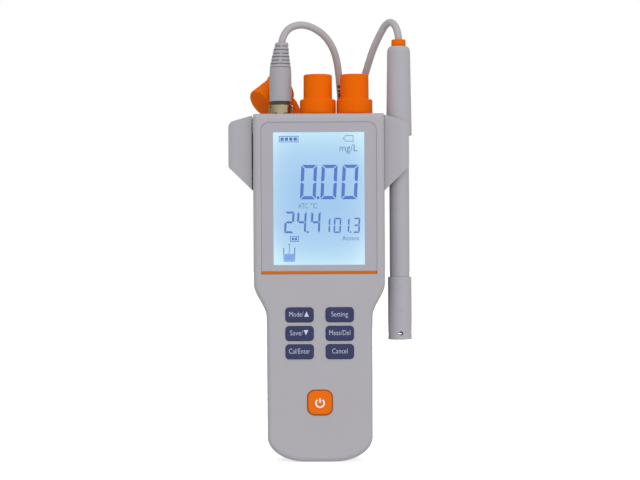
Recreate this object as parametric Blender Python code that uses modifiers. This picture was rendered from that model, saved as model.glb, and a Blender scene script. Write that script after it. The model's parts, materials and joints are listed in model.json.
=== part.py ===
"""Handheld water quality meter with its dissolved-oxygen probe clipped into the right-hand holder.

Lengths below are in millimetres and heights are counted from the bottom of the case.
The object is placed in metres, upright, with its origin at the middle of the hand grip:
+X to the right, +Y to the back, +Z up the case."""

import math

import bmesh
import bpy
from mathutils import Matrix, Vector

# ---------------------------------------------------------------- driving dimensions (mm)
GRIP_Z = 50.0             # height of the origin above the bottom of the case

CASE_H = 212.0            # case height
HEAD_HALF = 40.0          # half width of the head
WAIST_HALF = 32.3         # half width just below the shoulder
GRIP_HALF = 32.0          # half width of the grip
SHOULDER_TOP = 108.5      # where the head starts to narrow
SHOULDER_LOW = 88.0       # where the grip starts
FOOT_RX, FOOT_RZ = 20.0, 14.0   # bottom corner ellipse
HALF_DEPTH = 17.5         # half of the case depth
SEAM = 0.8                # half of the gap that holds the case gasket
WALL = 2.2                # side and back walls
FRONT_WALL = 2.7
RIM_R = 3.2               # rounding of the front and back rims

PANEL_HALF_X, PANEL_HALF_Y = 36.0, 14.0      # connector panel in the top
PANEL_TOP, PANEL_STEP, PANEL_LOW = 211.8, 209.5, 208.0

BEZEL_HALF, BEZEL_TOP, BEZEL_LOW, BEZEL_R = 35.1, 206.6, 116.6, 5.0
WINDOW_HALF, WINDOW_TOP, WINDOW_LOW = 27.75, 200.5, 119.8
STRIP_Z, STRIP_H, STRIP_HALF = 115.1, 1.9, 34.9

KEY_X = 12.2
KEY_ROWS = (89.5, 78.2, 67.1)
KEY_W, KEY_H, KEY_R = 17.0, 8.9, 2.2
POWER_Z, POWER_W, POWER_R = 36.2, 15.5, 4.5
KEY_PROUD, KEY_TRAVEL = 0.8, 0.8

SOCKET_X = (-23.4, -0.4, 22.2)    # plug socket, middle socket, right socket
CAP_FLANGE_R, CAP_BARREL_R, CAP_TOP, CAP_STEP, CAP_LOW = 11.1, 8.8, 236.8, 221.3, 212.3
SOCKET_R, SOCKET_TOP = 6.4, 232.0

HOLDER_IN, HOLDER_OUT, HOLDER_AXIS = 40.3, 55.4, 49.6
HOLDER_BORE_R, HOLDER_SEAT_R, HOLDER_SEAT_Z, HOLDER_WALL_R = 6.45, 8.3, 199.0, 9.8
HOLDER_MOUTH = 4.2

PROBE_X = HOLDER_AXIS
HANDLE_TOP, HANDLE_LOW, HANDLE_R_TOP, HANDLE_R_LOW = 254.5, 199.3, 7.1, 7.9
SHAFT_R, SHAFT_IN, SHAFT_TOP, SHAFT_LOW = 6.1, 4.6, 212.6, 86.0
GUARD_R, GUARD_IN, GUARD_TOP, GUARD_LOW = 7.3, 6.5, 112.0, 73.3

CORD_D = 4.5
HANK_X, HANK_LOW_Z, HANK_HIGH_Z, HANK_R = -4.5, 134.0, 184.0, 18.0
LAYER_1_Y, LAYER_2_Y = 21.6, 26.5

CELL_R, CELL_L, CELL_PITCH, CELL_Y, CELL_LOW = 7.25, 50.5, 14.9, 6.4, 20.0
DOOR_HALF, DOOR_LOW, DOOR_HIGH = 25.5, 14.8, 83.2
DOOR_SCREW_Z = 79.3
SCREWS = ((-34.0, 203.2), (34.0, 203.2), (-22.0, 9.9), (22.0, 9.9))

# ---------------------------------------------------------------- scene and helpers
for old in list(bpy.data.objects):
    bpy.data.objects.remove(old, do_unlink=True)

parts = bpy.data.collections.new("water_quality_probe")
cutters = bpy.data.collections.new("cutters")
bpy.context.scene.collection.children.link(parts)
bpy.context.scene.collection.children.link(cutters)

MM = 0.001


def place(x, y, z):
    """A point given in millimetres from the bottom of the case, in metres from the origin."""
    return Vector((x * MM, y * MM, (z - GRIP_Z) * MM))


def material(name, colour, roughness, metallic=0.0):
    made = bpy.data.materials.new(name)
    made.use_nodes = True
    shader = made.node_tree.nodes["Principled BSDF"]
    shader.inputs["Base Color"].default_value = (*colour, 1.0)
    shader.inputs["Roughness"].default_value = roughness
    shader.inputs["Metallic"].default_value = metallic
    return made


GREY = material("grey_abs", (0.40, 0.39, 0.41), 0.5)
BEZEL_GREY = material("bezel_grey", (0.40, 0.38, 0.44), 0.4)
ORANGE = material("orange_rubber", (0.80, 0.14, 0.0), 0.55)
ORANGE_GLOSS = material("orange_plastic", (0.78, 0.16, 0.01), 0.4)
NAVY = material("navy_rubber", (0.06, 0.08, 0.19), 0.45)
BLACK = material("black_rubber", (0.02, 0.02, 0.02), 0.6)
CLEAR = material("clear_plastic", (0.85, 0.9, 0.95), 0.05)
LCD = material("lcd_blue", (0.45, 0.65, 0.9), 0.2)
WHITE = material("white_diffuser", (0.9, 0.92, 0.95), 0.4)
BOARD = material("green_board", (0.03, 0.22, 0.08), 0.5)
NICKEL = material("nickel", (0.55, 0.5, 0.42), 0.3, 1.0)
STEEL = material("steel", (0.6, 0.6, 0.6), 0.3, 1.0)
CELL = material("cell_jacket", (0.10, 0.12, 0.16), 0.35)
CORD = material("grey_pvc", (0.38, 0.35, 0.36), 0.55)
MEMBRANE = material("membrane_black", (0.05, 0.05, 0.05), 0.4)


def empty(name, point):
    made = bpy.data.objects.new(name, None)
    made.empty_display_size = 0.01
    made.location = point
    parts.objects.link(made)
    return made


origin = empty("hand_grip", Vector((0, 0, 0)))
probe_axis = empty("probe_axis", place(PROBE_X, 0, HANDLE_LOW))


def add(name, mesh, mat, location=None, holder=None):
    """Links a mesh or curve as a part, or as a cutter where it has no material."""
    made = bpy.data.objects.new(name, mesh)
    if location is not None:
        made.location = location
    if mat is None:
        cutters.objects.link(made)
        made.hide_render = True
        made.display_type = "WIRE"
        return made
    mesh.materials.append(mat)
    parts.objects.link(made)
    holder = holder or origin
    made.parent = holder
    made.matrix_parent_inverse = Matrix.Translation(-holder.location)
    return made


def rebase(obj, point):
    """Moves an object's origin to a point without moving its shape."""
    obj.data.transform(Matrix.Translation(obj.location - point))
    obj.location = point
    return obj


def boxes(name, mat, *spans, holder=None):
    """One mesh of upright boxes, each given as three (low, high) spans."""
    bm = bmesh.new()
    for (x0, x1), (y0, y1), (z0, z1) in spans:
        made = bmesh.ops.create_cube(bm, size=1.0)["verts"]
        bmesh.ops.scale(bm, verts=made, vec=((x1 - x0) * MM, (y1 - y0) * MM, (z1 - z0) * MM))
        bmesh.ops.translate(bm, verts=made, vec=place((x0 + x1) / 2, (y0 + y1) / 2, (z0 + z1) / 2))
    mesh = bpy.data.meshes.new(name)
    bm.to_mesh(mesh)
    bm.free()
    return add(name, mesh, mat, holder=holder)


def rods(name, mat, axis, rows, segments=16, holder=None):
    """One mesh of plain cylinders along an axis; each row is (x, y, z of the middle, radius, length)."""
    turn = {"X": Matrix.Rotation(math.pi / 2, 4, "Y"), "Y": Matrix.Rotation(math.pi / 2, 4, "X"), "Z": Matrix.Identity(4)}[axis]
    bm = bmesh.new()
    for x, y, z, radius, length in rows:
        bmesh.ops.create_cone(
            bm, cap_ends=True, segments=segments, radius1=radius * MM, radius2=radius * MM, depth=length * MM,
            matrix=Matrix.Translation(place(x, y, z)) @ turn,
        )
    mesh = bpy.data.meshes.new(name)
    bm.to_mesh(mesh)
    bm.free()
    return add(name, mesh, mat, holder=holder)


def turned(name, mat, profile, x, y, steps=24, closed=False, tilt=None, base=None, holder=None):
    """A profile of (radius, height) points, listed down the outer side, turned about an upright axis."""
    base = place(x, y, 0) if base is None else base
    mesh = bpy.data.meshes.new(name)
    count = len(profile)
    edges = [(i, i + 1) for i in range(count - 1)] + ([(count - 1, 0)] if closed else [])
    mesh.from_pydata([(r * MM, 0, h * MM) for r, h in profile], edges, [])
    made = add(name, mesh, mat, location=base, holder=holder)
    if tilt is not None:
        made.rotation_euler = tilt
    screw = made.modifiers.new("turn", "SCREW")
    screw.axis = "Z"
    screw.steps = steps
    screw.render_steps = steps
    screw.use_merge_vertices = True
    screw.merge_threshold = 1e-6
    screw.use_smooth_shade = False
    return made


def slab(name, mat, outline, low, high, plane="XZ", holder=None):
    """A flat outline with thickness. In XZ it faces the front and runs from y = low to high; in XY from z = low to high."""
    curve = bpy.data.curves.new(name, "CURVE")
    curve.dimensions = "2D"
    curve.fill_mode = "BOTH"
    curve.extrude = (high - low) / 2 * MM
    spline = curve.splines.new("POLY")
    spline.points.add(len(outline) - 1)
    for point, (a, b) in zip(spline.points, outline):
        point.co = (a * MM, b * MM, 0, 1)
    spline.use_cyclic_u = True
    maker = bpy.data.objects.new(name + "_outline", curve)
    bpy.context.scene.collection.objects.link(maker)
    bpy.context.view_layer.update()
    mesh = bpy.data.meshes.new_from_object(maker.evaluated_get(bpy.context.evaluated_depsgraph_get()))
    bpy.data.objects.remove(maker, do_unlink=True)
    middle = (low + high) / 2
    if plane == "XZ":
        mesh.transform(Matrix.Translation(place(0, middle, 0)) @ Matrix.Rotation(math.pi / 2, 4, "X"))
    else:
        mesh.transform(Matrix.Translation(place(0, 0, middle)))
    bm = bmesh.new()
    bm.from_mesh(mesh)
    bmesh.ops.remove_doubles(bm, verts=bm.verts, dist=1e-6)
    bmesh.ops.recalc_face_normals(bm, faces=bm.faces)
    bm.to_mesh(mesh)
    bm.free()
    mesh.name = name
    return add(name, mesh, mat, holder=holder)


def loft(name, mat, rings):
    """A closed skin through rings of equal point counts; each ring is (y, [(x, z), ...])."""
    bm = bmesh.new()
    rows = [[bm.verts.new(place(x, y, z)) for x, z in ring] for y, ring in rings]
    for near, far in zip(rows, rows[1:]):
        for i in range(len(near)):
            j = (i + 1) % len(near)
            bm.faces.new((near[i], near[j], far[j], far[i]))
    bm.faces.new(rows[0])
    bm.faces.new(rows[-1])
    bmesh.ops.recalc_face_normals(bm, faces=bm.faces)
    mesh = bpy.data.meshes.new(name)
    bm.to_mesh(mesh)
    bm.free()
    return add(name, mesh, mat)


def combine(obj, other, operation):
    """A Boolean of another mesh on an object; the other mesh becomes a hidden helper."""
    if other.name in parts.objects:
        parts.objects.unlink(other)
        cutters.objects.link(other)
    other.hide_render = True
    other.display_type = "WIRE"
    made = obj.modifiers.new(operation.lower(), "BOOLEAN")
    made.operation = operation
    made.object = other
    made.solver = "EXACT"
    return obj


def cut(obj, *others):
    for other in others:
        combine(obj, other, "DIFFERENCE")
    return obj


def unite(obj, *others):
    for other in others:
        combine(obj, other, "UNION")
    return obj


def arc(cx, cz, rx, rz, start, end, count):
    """Points on an ellipse from one angle to another, in degrees, both ends included."""
    angles = [math.radians(start + (end - start) * i / count) for i in range(count + 1)]
    return [(cx + rx * math.cos(a), cz + rz * math.sin(a)) for a in angles]


def rounded(cx, cz, width, height, radius, steps=4):
    """A rectangle with round corners, anticlockwise from the right-hand lower corner."""
    w, h = width / 2 - radius, height / 2 - radius
    return (
        arc(cx + w, cz - h, radius, radius, -90, 0, steps) + arc(cx + w, cz + h, radius, radius, 0, 90, steps)
        + arc(cx - w, cz + h, radius, radius, 90, 180, steps) + arc(cx - w, cz - h, radius, radius, 180, 270, steps)
    )


def case_outline(inset):
    """The front outline of the case, drawn in by an inset, anticlockwise from the flat of the base."""
    corner = max(0.5, 1.3 - 0.3 * inset)
    right = arc(GRIP_HALF - FOOT_RX, 14.0, FOOT_RX - inset, FOOT_RZ - inset, -90, 0, 7)
    shoulder = []
    for i in range(9):
        t = i / 8
        ease = t * t * (3 - 2 * t)
        shoulder.append((WAIST_HALF + (HEAD_HALF - WAIST_HALF) * ease - inset, SHOULDER_LOW + (SHOULDER_TOP - SHOULDER_LOW) * t))
    right += shoulder
    right += arc(HEAD_HALF - inset - corner, CASE_H - inset - corner, corner, corner, 0, 90, 3)
    left = [(-x, z) for x, z in reversed(right)]
    return right + left


def rim_rings(side):
    """Rings of the outer skin from the flat face back to the seam; side is -1 at the front and 1 at the back."""
    rings = []
    for degrees in (0, 30, 60, 90):
        a = math.radians(degrees)
        rings.append((side * (HALF_DEPTH - RIM_R * (1 - math.cos(a))), case_outline(RIM_R * (1 - math.sin(a)))))
    rings.append((side * SEAM, case_outline(0.0)))
    return rings


def smooth_route(points, spacing):
    """Evenly spaced points on a smooth curve through a route's own points."""
    ends = [points[0] * 2 - points[1]] + list(points) + [points[-1] * 2 - points[-2]]
    fine = []
    for i in range(1, len(ends) - 2):
        a, b, c, d = ends[i - 1 : i + 3]
        for k in range(24):
            t = k / 24
            fine.append(0.5 * ((2 * b) + (c - a) * t + (2 * a - 5 * b + 4 * c - d) * t * t + (3 * b - 3 * c + d - a) * t * t * t))
    fine.append(Vector(points[-1]))
    total = [0.0]
    for p, q in zip(fine, fine[1:]):
        total.append(total[-1] + (q - p).length)
    count = max(2, round(total[-1] / spacing))
    out, k = [], 0
    for i in range(count + 1):
        want = total[-1] * i / count
        while k < len(total) - 2 and total[k + 1] < want:
            k += 1
        part = (want - total[k]) / max(total[k + 1] - total[k], 1e-9)
        out.append(fine[k].lerp(fine[k + 1], part))
    return out


def tube(name, mat, points, radius, resolution=2, holder=None):
    """A round cord along points in metres."""
    curve = bpy.data.curves.new(name, "CURVE")
    curve.dimensions = "3D"
    curve.bevel_depth = radius * MM
    curve.bevel_resolution = resolution
    curve.use_fill_caps = True
    spline = curve.splines.new("POLY")
    spline.points.add(len(points) - 1)
    for point, co in zip(spline.points, points):
        point.co = (*co, 1)
    return add(name, curve, mat, holder=holder)


# ---------------------------------------------------------------- case
front_shell = loft("front_shell", GREY, rim_rings(-1))
cut(front_shell, loft("front_cavity", None, [
    (-(HALF_DEPTH - FRONT_WALL), case_outline(3.4)), (-(HALF_DEPTH - FRONT_WALL) + 1.2, case_outline(WALL)), (0.0, case_outline(WALL)),
]))
rear_shell = loft("rear_shell", GREY, rim_rings(1))
cut(rear_shell, loft("rear_cavity", None, [
    (HALF_DEPTH - WALL, case_outline(3.4)), (HALF_DEPTH - WALL - 1.2, case_outline(WALL)), (0.0, case_outline(WALL)),
]))

# Screw posts: the front ones take the threads, the rear ones seat the heads.
for index, (x, z) in enumerate(SCREWS):
    front_low = -(HALF_DEPTH - FRONT_WALL) - 1.0
    unite(front_shell, rods(f"front_post_{index}", None, "Y", [(x, (front_low - 1.2) / 2, z, 3.0, -1.2 - front_low)], 12))
    rear_high = HALF_DEPTH - WALL + 1.0
    unite(rear_shell, rods(f"rear_post_{index}", None, "Y", [(x, (rear_high + 1.2) / 2, z, 3.6, rear_high - 1.2)], 12))
cut(front_shell, rods("thread_holes", None, "Y", [(x, -6.0, z, 1.5, 14.0) for x, z in SCREWS], 10))
cut(rear_shell, rods("shank_holes", None, "Y", [(x, 6.0, z, 1.6, 16.0) for x, z in SCREWS], 10))
cut(rear_shell, rods("head_wells", None, "Y", [(x, 15.5, z, 2.9, 6.0) for x, z in SCREWS], 12))

top_opening = boxes("top_opening", None, ((-36.3, 36.3), (-14.3, 14.3), (204.0, 216.0)))
flange_room = boxes("flange_room", None, ((-37.5, 37.5), (-14.8, 15.3), (204.0, 209.8)))
cut(front_shell, top_opening, flange_room)
cut(rear_shell, top_opening, flange_room)

# Front face: the pocket for the display bezel and strip, the window, and the key holes.
pocket_outline = (
    [(-BEZEL_HALF - 0.3, STRIP_Z - STRIP_H / 2 - 0.3), (BEZEL_HALF + 0.3, STRIP_Z - STRIP_H / 2 - 0.3)]
    + arc(BEZEL_HALF - BEZEL_R, BEZEL_TOP - BEZEL_R, BEZEL_R + 0.3, BEZEL_R + 0.3, 0, 90, 5)
    + arc(-BEZEL_HALF + BEZEL_R, BEZEL_TOP - BEZEL_R, BEZEL_R + 0.3, BEZEL_R + 0.3, 90, 180, 5)
)
cut(front_shell, slab("bezel_pocket", None, pocket_outline, -20.0, -15.8))
cut(front_shell, boxes("window_hole", None, ((-WINDOW_HALF - 0.2, WINDOW_HALF + 0.2), (-18.0, -13.0), (WINDOW_LOW - 0.2, WINDOW_TOP + 0.2))))
for row, z in enumerate(KEY_ROWS):
    for side, x in (("left", -KEY_X), ("right", KEY_X)):
        cut(front_shell, slab(f"key_hole_{row}_{side}", None, rounded(x, z, KEY_W + 0.6, KEY_H + 0.6, KEY_R + 0.3, 3), -20.0, -12.0))
cut(front_shell, slab("power_hole", None, rounded(0, POWER_Z, POWER_W + 0.6, POWER_W + 0.6, POWER_R + 0.3, 3), -20.0, -12.0))

# Back: the battery opening, foot pockets and the slots for the holders' tongues.
cut(rear_shell, slab("battery_opening", None, rounded(0, (DOOR_LOW + DOOR_HIGH) / 2, 2 * DOOR_HALF + 0.7, DOOR_HIGH - DOOR_LOW + 0.7, 3.3, 3), 12.0, 20.0))
FEET = (("left_upper", -33.5, 186.0), ("right_upper", 33.5, 186.0), ("left_lower", -25.5, 86.5 + 6.5), ("right_lower", 25.5, 86.5 + 6.5))
cut(rear_shell, rods("foot_pockets", None, "Y", [(x, 18.3, z, 4.0, 3.0) for _, x, z in FEET], 14))
cut(rear_shell, boxes("tongue_slots", None, ((-42.0, -36.0), (1.2, 5.3), (178.7, 201.3)), ((36.0, 42.0), (1.2, 5.3), (178.7, 201.3))))

# The gasket follows the seam and stops at the connector panel.
case_gasket = slab("case_gasket", BLACK, case_outline(0.7), -0.5, 0.5)
cut(case_gasket, slab("gasket_inside", None, case_outline(1.9), -2.0, 2.0))
cut(case_gasket, boxes("gasket_gap", None, ((-36.6, 36.6), (-2.0, 2.0), (205.0, 216.0))))

connector_panel = boxes("connector_panel", GREY, ((-PANEL_HALF_X, PANEL_HALF_X), (-PANEL_HALF_Y, PANEL_HALF_Y), (PANEL_STEP - 0.5, PANEL_TOP)))
unite(connector_panel, boxes("panel_flange", None, ((-37.2, 37.2), (-14.5, 14.9), (PANEL_LOW, PANEL_STEP))))
cut(connector_panel, rods("panel_holes", None, "Z", [(SOCKET_X[0], 0, 210, 4.95, 12), (SOCKET_X[1], 0, 210, SOCKET_R + 0.35, 12), (SOCKET_X[2], 0, 210, SOCKET_R + 0.35, 12)], 24))

# ---------------------------------------------------------------- display
bezel_outline = (
    [(-BEZEL_HALF, BEZEL_LOW), (BEZEL_HALF, BEZEL_LOW)]
    + arc(BEZEL_HALF - BEZEL_R, BEZEL_TOP - BEZEL_R, BEZEL_R, BEZEL_R, 0, 90, 5)
    + arc(-BEZEL_HALF + BEZEL_R, BEZEL_TOP - BEZEL_R, BEZEL_R, BEZEL_R, 90, 180, 5)
)
display_bezel = slab("display_bezel", BEZEL_GREY, bezel_outline, -17.25, -16.1)
cut(display_bezel, boxes("bezel_window", None, ((-WINDOW_HALF, WINDOW_HALF), (-20.0, -14.0), (WINDOW_LOW, WINDOW_TOP))))
accent_strip = boxes("accent_strip", ORANGE_GLOSS, ((-STRIP_HALF, STRIP_HALF), (-17.35, -16.1), (STRIP_Z - STRIP_H / 2, STRIP_Z + STRIP_H / 2)))
display_lens = boxes("display_lens", CLEAR, ((-WINDOW_HALF + 0.3, WINDOW_HALF - 0.3), (-17.2, -16.2), (WINDOW_LOW + 0.3, WINDOW_TOP - 0.3)))
lcd_glass = boxes("lcd_glass", LCD, ((-29.0, 29.0), (-14.4, -12.6), (116.8, 203.4)))
unite(lcd_glass, boxes("lcd_front", None, ((-WINDOW_HALF + 0.3, WINDOW_HALF - 0.3), (-15.9, -14.0), (WINDOW_LOW + 0.3, WINDOW_TOP - 0.3))))
backlight = boxes("backlight", WHITE, ((-28.5, 28.5), (-12.3, -9.6), (117.3, 202.9)))

# ---------------------------------------------------------------- electronics and keypad
board_outline = [(-20.0, 26.0), (20.0, 26.0), (24.0, 40.0), (24.0, 100.0), (28.5, 110.0), (28.5, 203.2), (-28.5, 203.2), (-28.5, 110.0), (-24.0, 100.0), (-24.0, 40.0)]
main_board = slab("main_board", BOARD, board_outline, -9.2, -7.6)
key_mat = slab("key_mat", BLACK, rounded(0, 62.0, 46.0, 74.0, 3.0, 2), -11.4, -9.5)
for index, (x, z) in enumerate([(x, z) for z in KEY_ROWS for x in (-KEY_X, KEY_X)] + [(0.0, POWER_Z)]):
    unite(key_mat, rods(f"dome_{index}", None, "Y", [(x, -11.8, z, 2.4, 1.6)], 10))


def key(name, mat, x, z, width, height, radius):
    """A rubber key: the pad that shows, and a wider skirt behind the case wall."""
    face = -HALF_DEPTH - KEY_PROUD
    pad = slab(name, mat, rounded(x, z, width, height, radius, 3), face, -14.2)
    unite(pad, slab(name + "_skirt", None, rounded(x, z, width + 1.6, height + 1.6, radius + 0.8, 2), -14.5, -13.7))
    return rebase(pad, place(x, face, z))


key_mode = key("key_mode", NAVY, -KEY_X, KEY_ROWS[0], KEY_W, KEY_H, KEY_R)
key_setting = key("key_setting", NAVY, KEY_X, KEY_ROWS[0], KEY_W, KEY_H, KEY_R)
key_save = key("key_save", NAVY, -KEY_X, KEY_ROWS[1], KEY_W, KEY_H, KEY_R)
key_measure = key("key_measure", NAVY, KEY_X, KEY_ROWS[1], KEY_W, KEY_H, KEY_R)
key_calibrate = key("key_calibrate", NAVY, -KEY_X, KEY_ROWS[2], KEY_W, KEY_H, KEY_R)
key_cancel = key("key_cancel", NAVY, KEY_X, KEY_ROWS[2], KEY_W, KEY_H, KEY_R)
key_power = key("key_power", ORANGE_GLOSS, 0.0, POWER_Z, POWER_W, POWER_W, POWER_R)

# ---------------------------------------------------------------- power supply
battery_tray = boxes("battery_tray", GREY, ((-25.0, 25.0), (-2.8, 12.4), (16.4, 77.2)))
cut(battery_tray, boxes("tray_inside", None, ((-23.4, 23.4), (-1.6, 16.0), (17.6, 74.4))))
unite(battery_tray, rods("door_post", None, "Y", [(0, 5.4, DOOR_SCREW_Z, 3.4, 14.0)], 14))
cut(battery_tray, rods("door_thread", None, "Y", [(0, 9.0, DOOR_SCREW_Z, 1.5, 12.0)], 10))
cell_names = ("battery_cell_left", "battery_cell_middle", "battery_cell_right")
for index, name in enumerate(cell_names):
    x = (index - 1) * CELL_PITCH
    up = 1 if index % 2 == 0 else 0
    top, low = CELL_LOW + CELL_L, CELL_LOW
    nub = 1.3
    if up:
        profile = [(0, top), (2.7, top), (2.7, top - nub), (CELL_R - 0.4, top - nub), (CELL_R, top - nub - 0.5), (CELL_R, low), (0, low)]
    else:
        profile = [(0, top), (CELL_R, top), (CELL_R, low + nub + 0.5), (CELL_R - 0.4, low + nub), (2.7, low + nub), (2.7, low), (0, low)]
    turned(name, CELL, profile, x, CELL_Y, 20)
contact_plate_top = boxes("contact_plate_top", NICKEL, ((-22.6, 22.6), (0.5, 11.6), (72.0, 73.2)))
contact_plate_low = boxes("contact_plate_low", NICKEL, ((-22.6, 22.6), (0.5, 11.6), (18.1, 19.3)))

battery_door = slab("battery_door", GREY, rounded(0, (DOOR_LOW + DOOR_HIGH) / 2, 2 * DOOR_HALF, DOOR_HIGH - DOOR_LOW, 3.0, 3), 15.4, 17.4)
cut(battery_door, rods("door_screw_hole", None, "Y", [(0, 16.0, DOOR_SCREW_Z, 1.6, 6.0)], 12))
cut(battery_door, rods("door_screw_well", None, "Y", [(0, 18.0, DOOR_SCREW_Z, 3.0, 2.2)], 16))
rebase(battery_door, place(0, 16.4, (DOOR_LOW + DOOR_HIGH) / 2))


def screw(name, x, z, head_y, head_r, head_h, tip_y, shank_r=1.2, steps=12):
    """A pan-head screw along Y with its head towards the back."""
    depth = head_y - tip_y
    profile = [(0, 0), (head_r * 0.8, 0), (head_r, -head_h * 0.4), (head_r, -head_h), (shank_r, -head_h), (shank_r, -depth + 1.0), (0.3, -depth), (0, -depth)]
    return turned(name, STEEL, profile, 0, 0, steps, tilt=(-math.pi / 2, 0, 0), base=place(x, head_y, z))


door_screw = screw("door_screw", 0, DOOR_SCREW_Z, 17.9, 2.6, 0.6, 6.0)
screw_names = ("case_screw_upper_left", "case_screw_upper_right", "case_screw_lower_left", "case_screw_lower_right")
for name, (x, z) in zip(screw_names, SCREWS):
    screw(name, x, z, 14.6, 2.5, 1.8, -11.0)

for name, x, z in FEET:
    rods("foot_" + name, BLACK, "Y", [(x, 17.85, z, 3.7, 1.5)], 14)

# ---------------------------------------------------------------- side holders for the probe
holder_outline = [
    (HOLDER_IN, 165.1), (HOLDER_OUT - 0.6, 180.2 - 0.6), (HOLDER_OUT, 180.8), (HOLDER_OUT, 205.3), (54.9, 206.9), (53.8, 207.9), (HOLDER_IN, 211.4),
]


def holder(side, name):
    """A C-shaped clip with its mouth outwards: a narrow bore for the shaft and a wider seat for the handle above it."""
    outline = [(side * x, z) for x, z in holder_outline]
    body = slab(name, GREY, outline, -HOLDER_WALL_R, HOLDER_WALL_R)
    section = [(side * (HOLDER_IN - 1), -HOLDER_WALL_R)] + [(side * x, y) for x, y in arc(HOLDER_AXIS, 0, HOLDER_WALL_R, HOLDER_WALL_R, -90, 90, 12)] + [(side * (HOLDER_IN - 1), HOLDER_WALL_R)]
    combine(body, slab(name + "_section", None, section, 150.0, 225.0, "XY"), "INTERSECT")
    unite(body, boxes(name + "_tongue", None, (tuple(sorted((side * 36.6, side * 41.0))), (1.6, 4.9), (179.1, 200.9))))
    cut(body, rods(name + "_bore", None, "Z", [(side * HOLDER_AXIS, 0, 190, HOLDER_BORE_R, 80)], 32))
    cut(body, rods(name + "_seat", None, "Z", [(side * HOLDER_AXIS, 0, HOLDER_SEAT_Z + 15, HOLDER_SEAT_R, 30)], 32))
    cut(body, boxes(name + "_mouth", None, (tuple(sorted((side * HOLDER_AXIS, side * 62.0))), (-HOLDER_MOUTH, HOLDER_MOUTH), (150.0, 225.0))))
    return body


probe_holder_left = holder(-1, "probe_holder_left")
probe_holder_right = holder(1, "probe_holder_right")

# ---------------------------------------------------------------- sockets, caps and the cable plug
x_plug, x_mid, x_right = SOCKET_X
plug_socket = turned("plug_socket", NICKEL, [(0, 213.4), (3.3, 213.4), (3.3, 222.3), (4.6, 222.3), (4.6, 207.7), (8.0, 207.7), (8.0, 205.0), (0, 205.0)], x_plug, 0)
for name, x in (("socket_middle", x_mid), ("socket_right", x_right)):
    turned(name, BLACK, [(0, 229.0), (4.8, 229.0), (4.8, SOCKET_TOP), (SOCKET_R, SOCKET_TOP), (SOCKET_R, 207.7), (9.0, 207.7), (9.0, 205.0), (0, 205.0)], x, 0)
    cap = "cap_" + name.split("_")[1]
    turned(cap, ORANGE, [
        (0, CAP_TOP), (CAP_BARREL_R - 1.4, CAP_TOP), (CAP_BARREL_R - 0.5, CAP_TOP - 0.5), (CAP_BARREL_R, CAP_TOP - 1.4), (CAP_BARREL_R, CAP_STEP),
        (CAP_FLANGE_R, CAP_STEP), (CAP_FLANGE_R, CAP_LOW), (SOCKET_R + 0.4, CAP_LOW), (SOCKET_R + 0.4, SOCKET_TOP + 0.5), (0, SOCKET_TOP + 0.5),
    ], x, 0)

# The left cap stands open on its strap behind the plug; its closed end leans down to the left and forwards.
CAP_LEFT_R, CAP_LEFT_L, CAP_LEFT_STEP = 9.4, 21.5, 16.5
CAP_LEFT_DIR = Vector((0.658, 0.5, 0.563)).normalized()      # from the closed end to the mouth
CAP_LEFT_END = Vector((-36.1, 11.4, 220.1))
tilt = Vector((0, 0, 1)).rotation_difference(CAP_LEFT_DIR).to_euler()
cap_left = turned("cap_left", ORANGE, [
    (0, 2.6), (SOCKET_R + 0.5, 2.6), (SOCKET_R + 0.5, CAP_LEFT_L), (CAP_FLANGE_R, CAP_LEFT_L), (CAP_FLANGE_R, CAP_LEFT_STEP), (CAP_LEFT_R, CAP_LEFT_STEP),
    (CAP_LEFT_R, 1.5), (CAP_LEFT_R - 0.5, 0.5), (CAP_LEFT_R - 1.6, 0), (0, 0),
], 0, 0, 24, tilt=tilt, base=place(*CAP_LEFT_END))

STRAP_FOOT = Vector((-13.8, 11.6, 212.2))
side_down = Vector((0.65, 0.0, -0.76))
side_down = (side_down - CAP_LEFT_DIR * CAP_LEFT_DIR.dot(side_down)).normalized()
strap_end = CAP_LEFT_END + CAP_LEFT_DIR * 19.0 + side_down * (CAP_FLANGE_R + 0.35)
strap_route = [STRAP_FOOT, STRAP_FOOT + Vector((0.0, 0.0, 1.3)), STRAP_FOOT + Vector((-0.1, 1.6, 2.8)), STRAP_FOOT + Vector((-0.6, 5.0, 5.2)), strap_end + side_down * 1.8, strap_end]
strap_points = smooth_route([place(*p) for p in strap_route], 0.0025)
cap_left_strap = tube("cap_left_strap", ORANGE, strap_points, 1.3, 2)

plug_nut = turned("plug_nut", NICKEL, [(4.95, 219.3), (7.0, 219.3), (7.4, 218.8), (7.4, 213.0), (7.0, 212.5), (4.95, 212.5)], x_plug, 0, 24, closed=True)
plug_body = turned("plug_body", CORD, [
    (0, 241.2), (6.2, 241.2), (6.7, 240.6), (6.95, 221.5), (6.6, 220.9), (6.2, 220.7), (6.2, 219.6), (4.95, 219.6), (4.95, 222.6), (0, 222.6),
], x_plug, 0)
plug_pin = rods("plug_pin", NICKEL, "Z", [(x_plug, 0, 218.0, 1.0, 8.4)], 10)
plug_boot = turned("plug_boot", CORD, [(0, 257.0), (3.8, 257.0), (4.1, 256.4), (5.8, 243.0), (5.9, 241.5), (0, 241.5)], x_plug, 0, 20)

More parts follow.
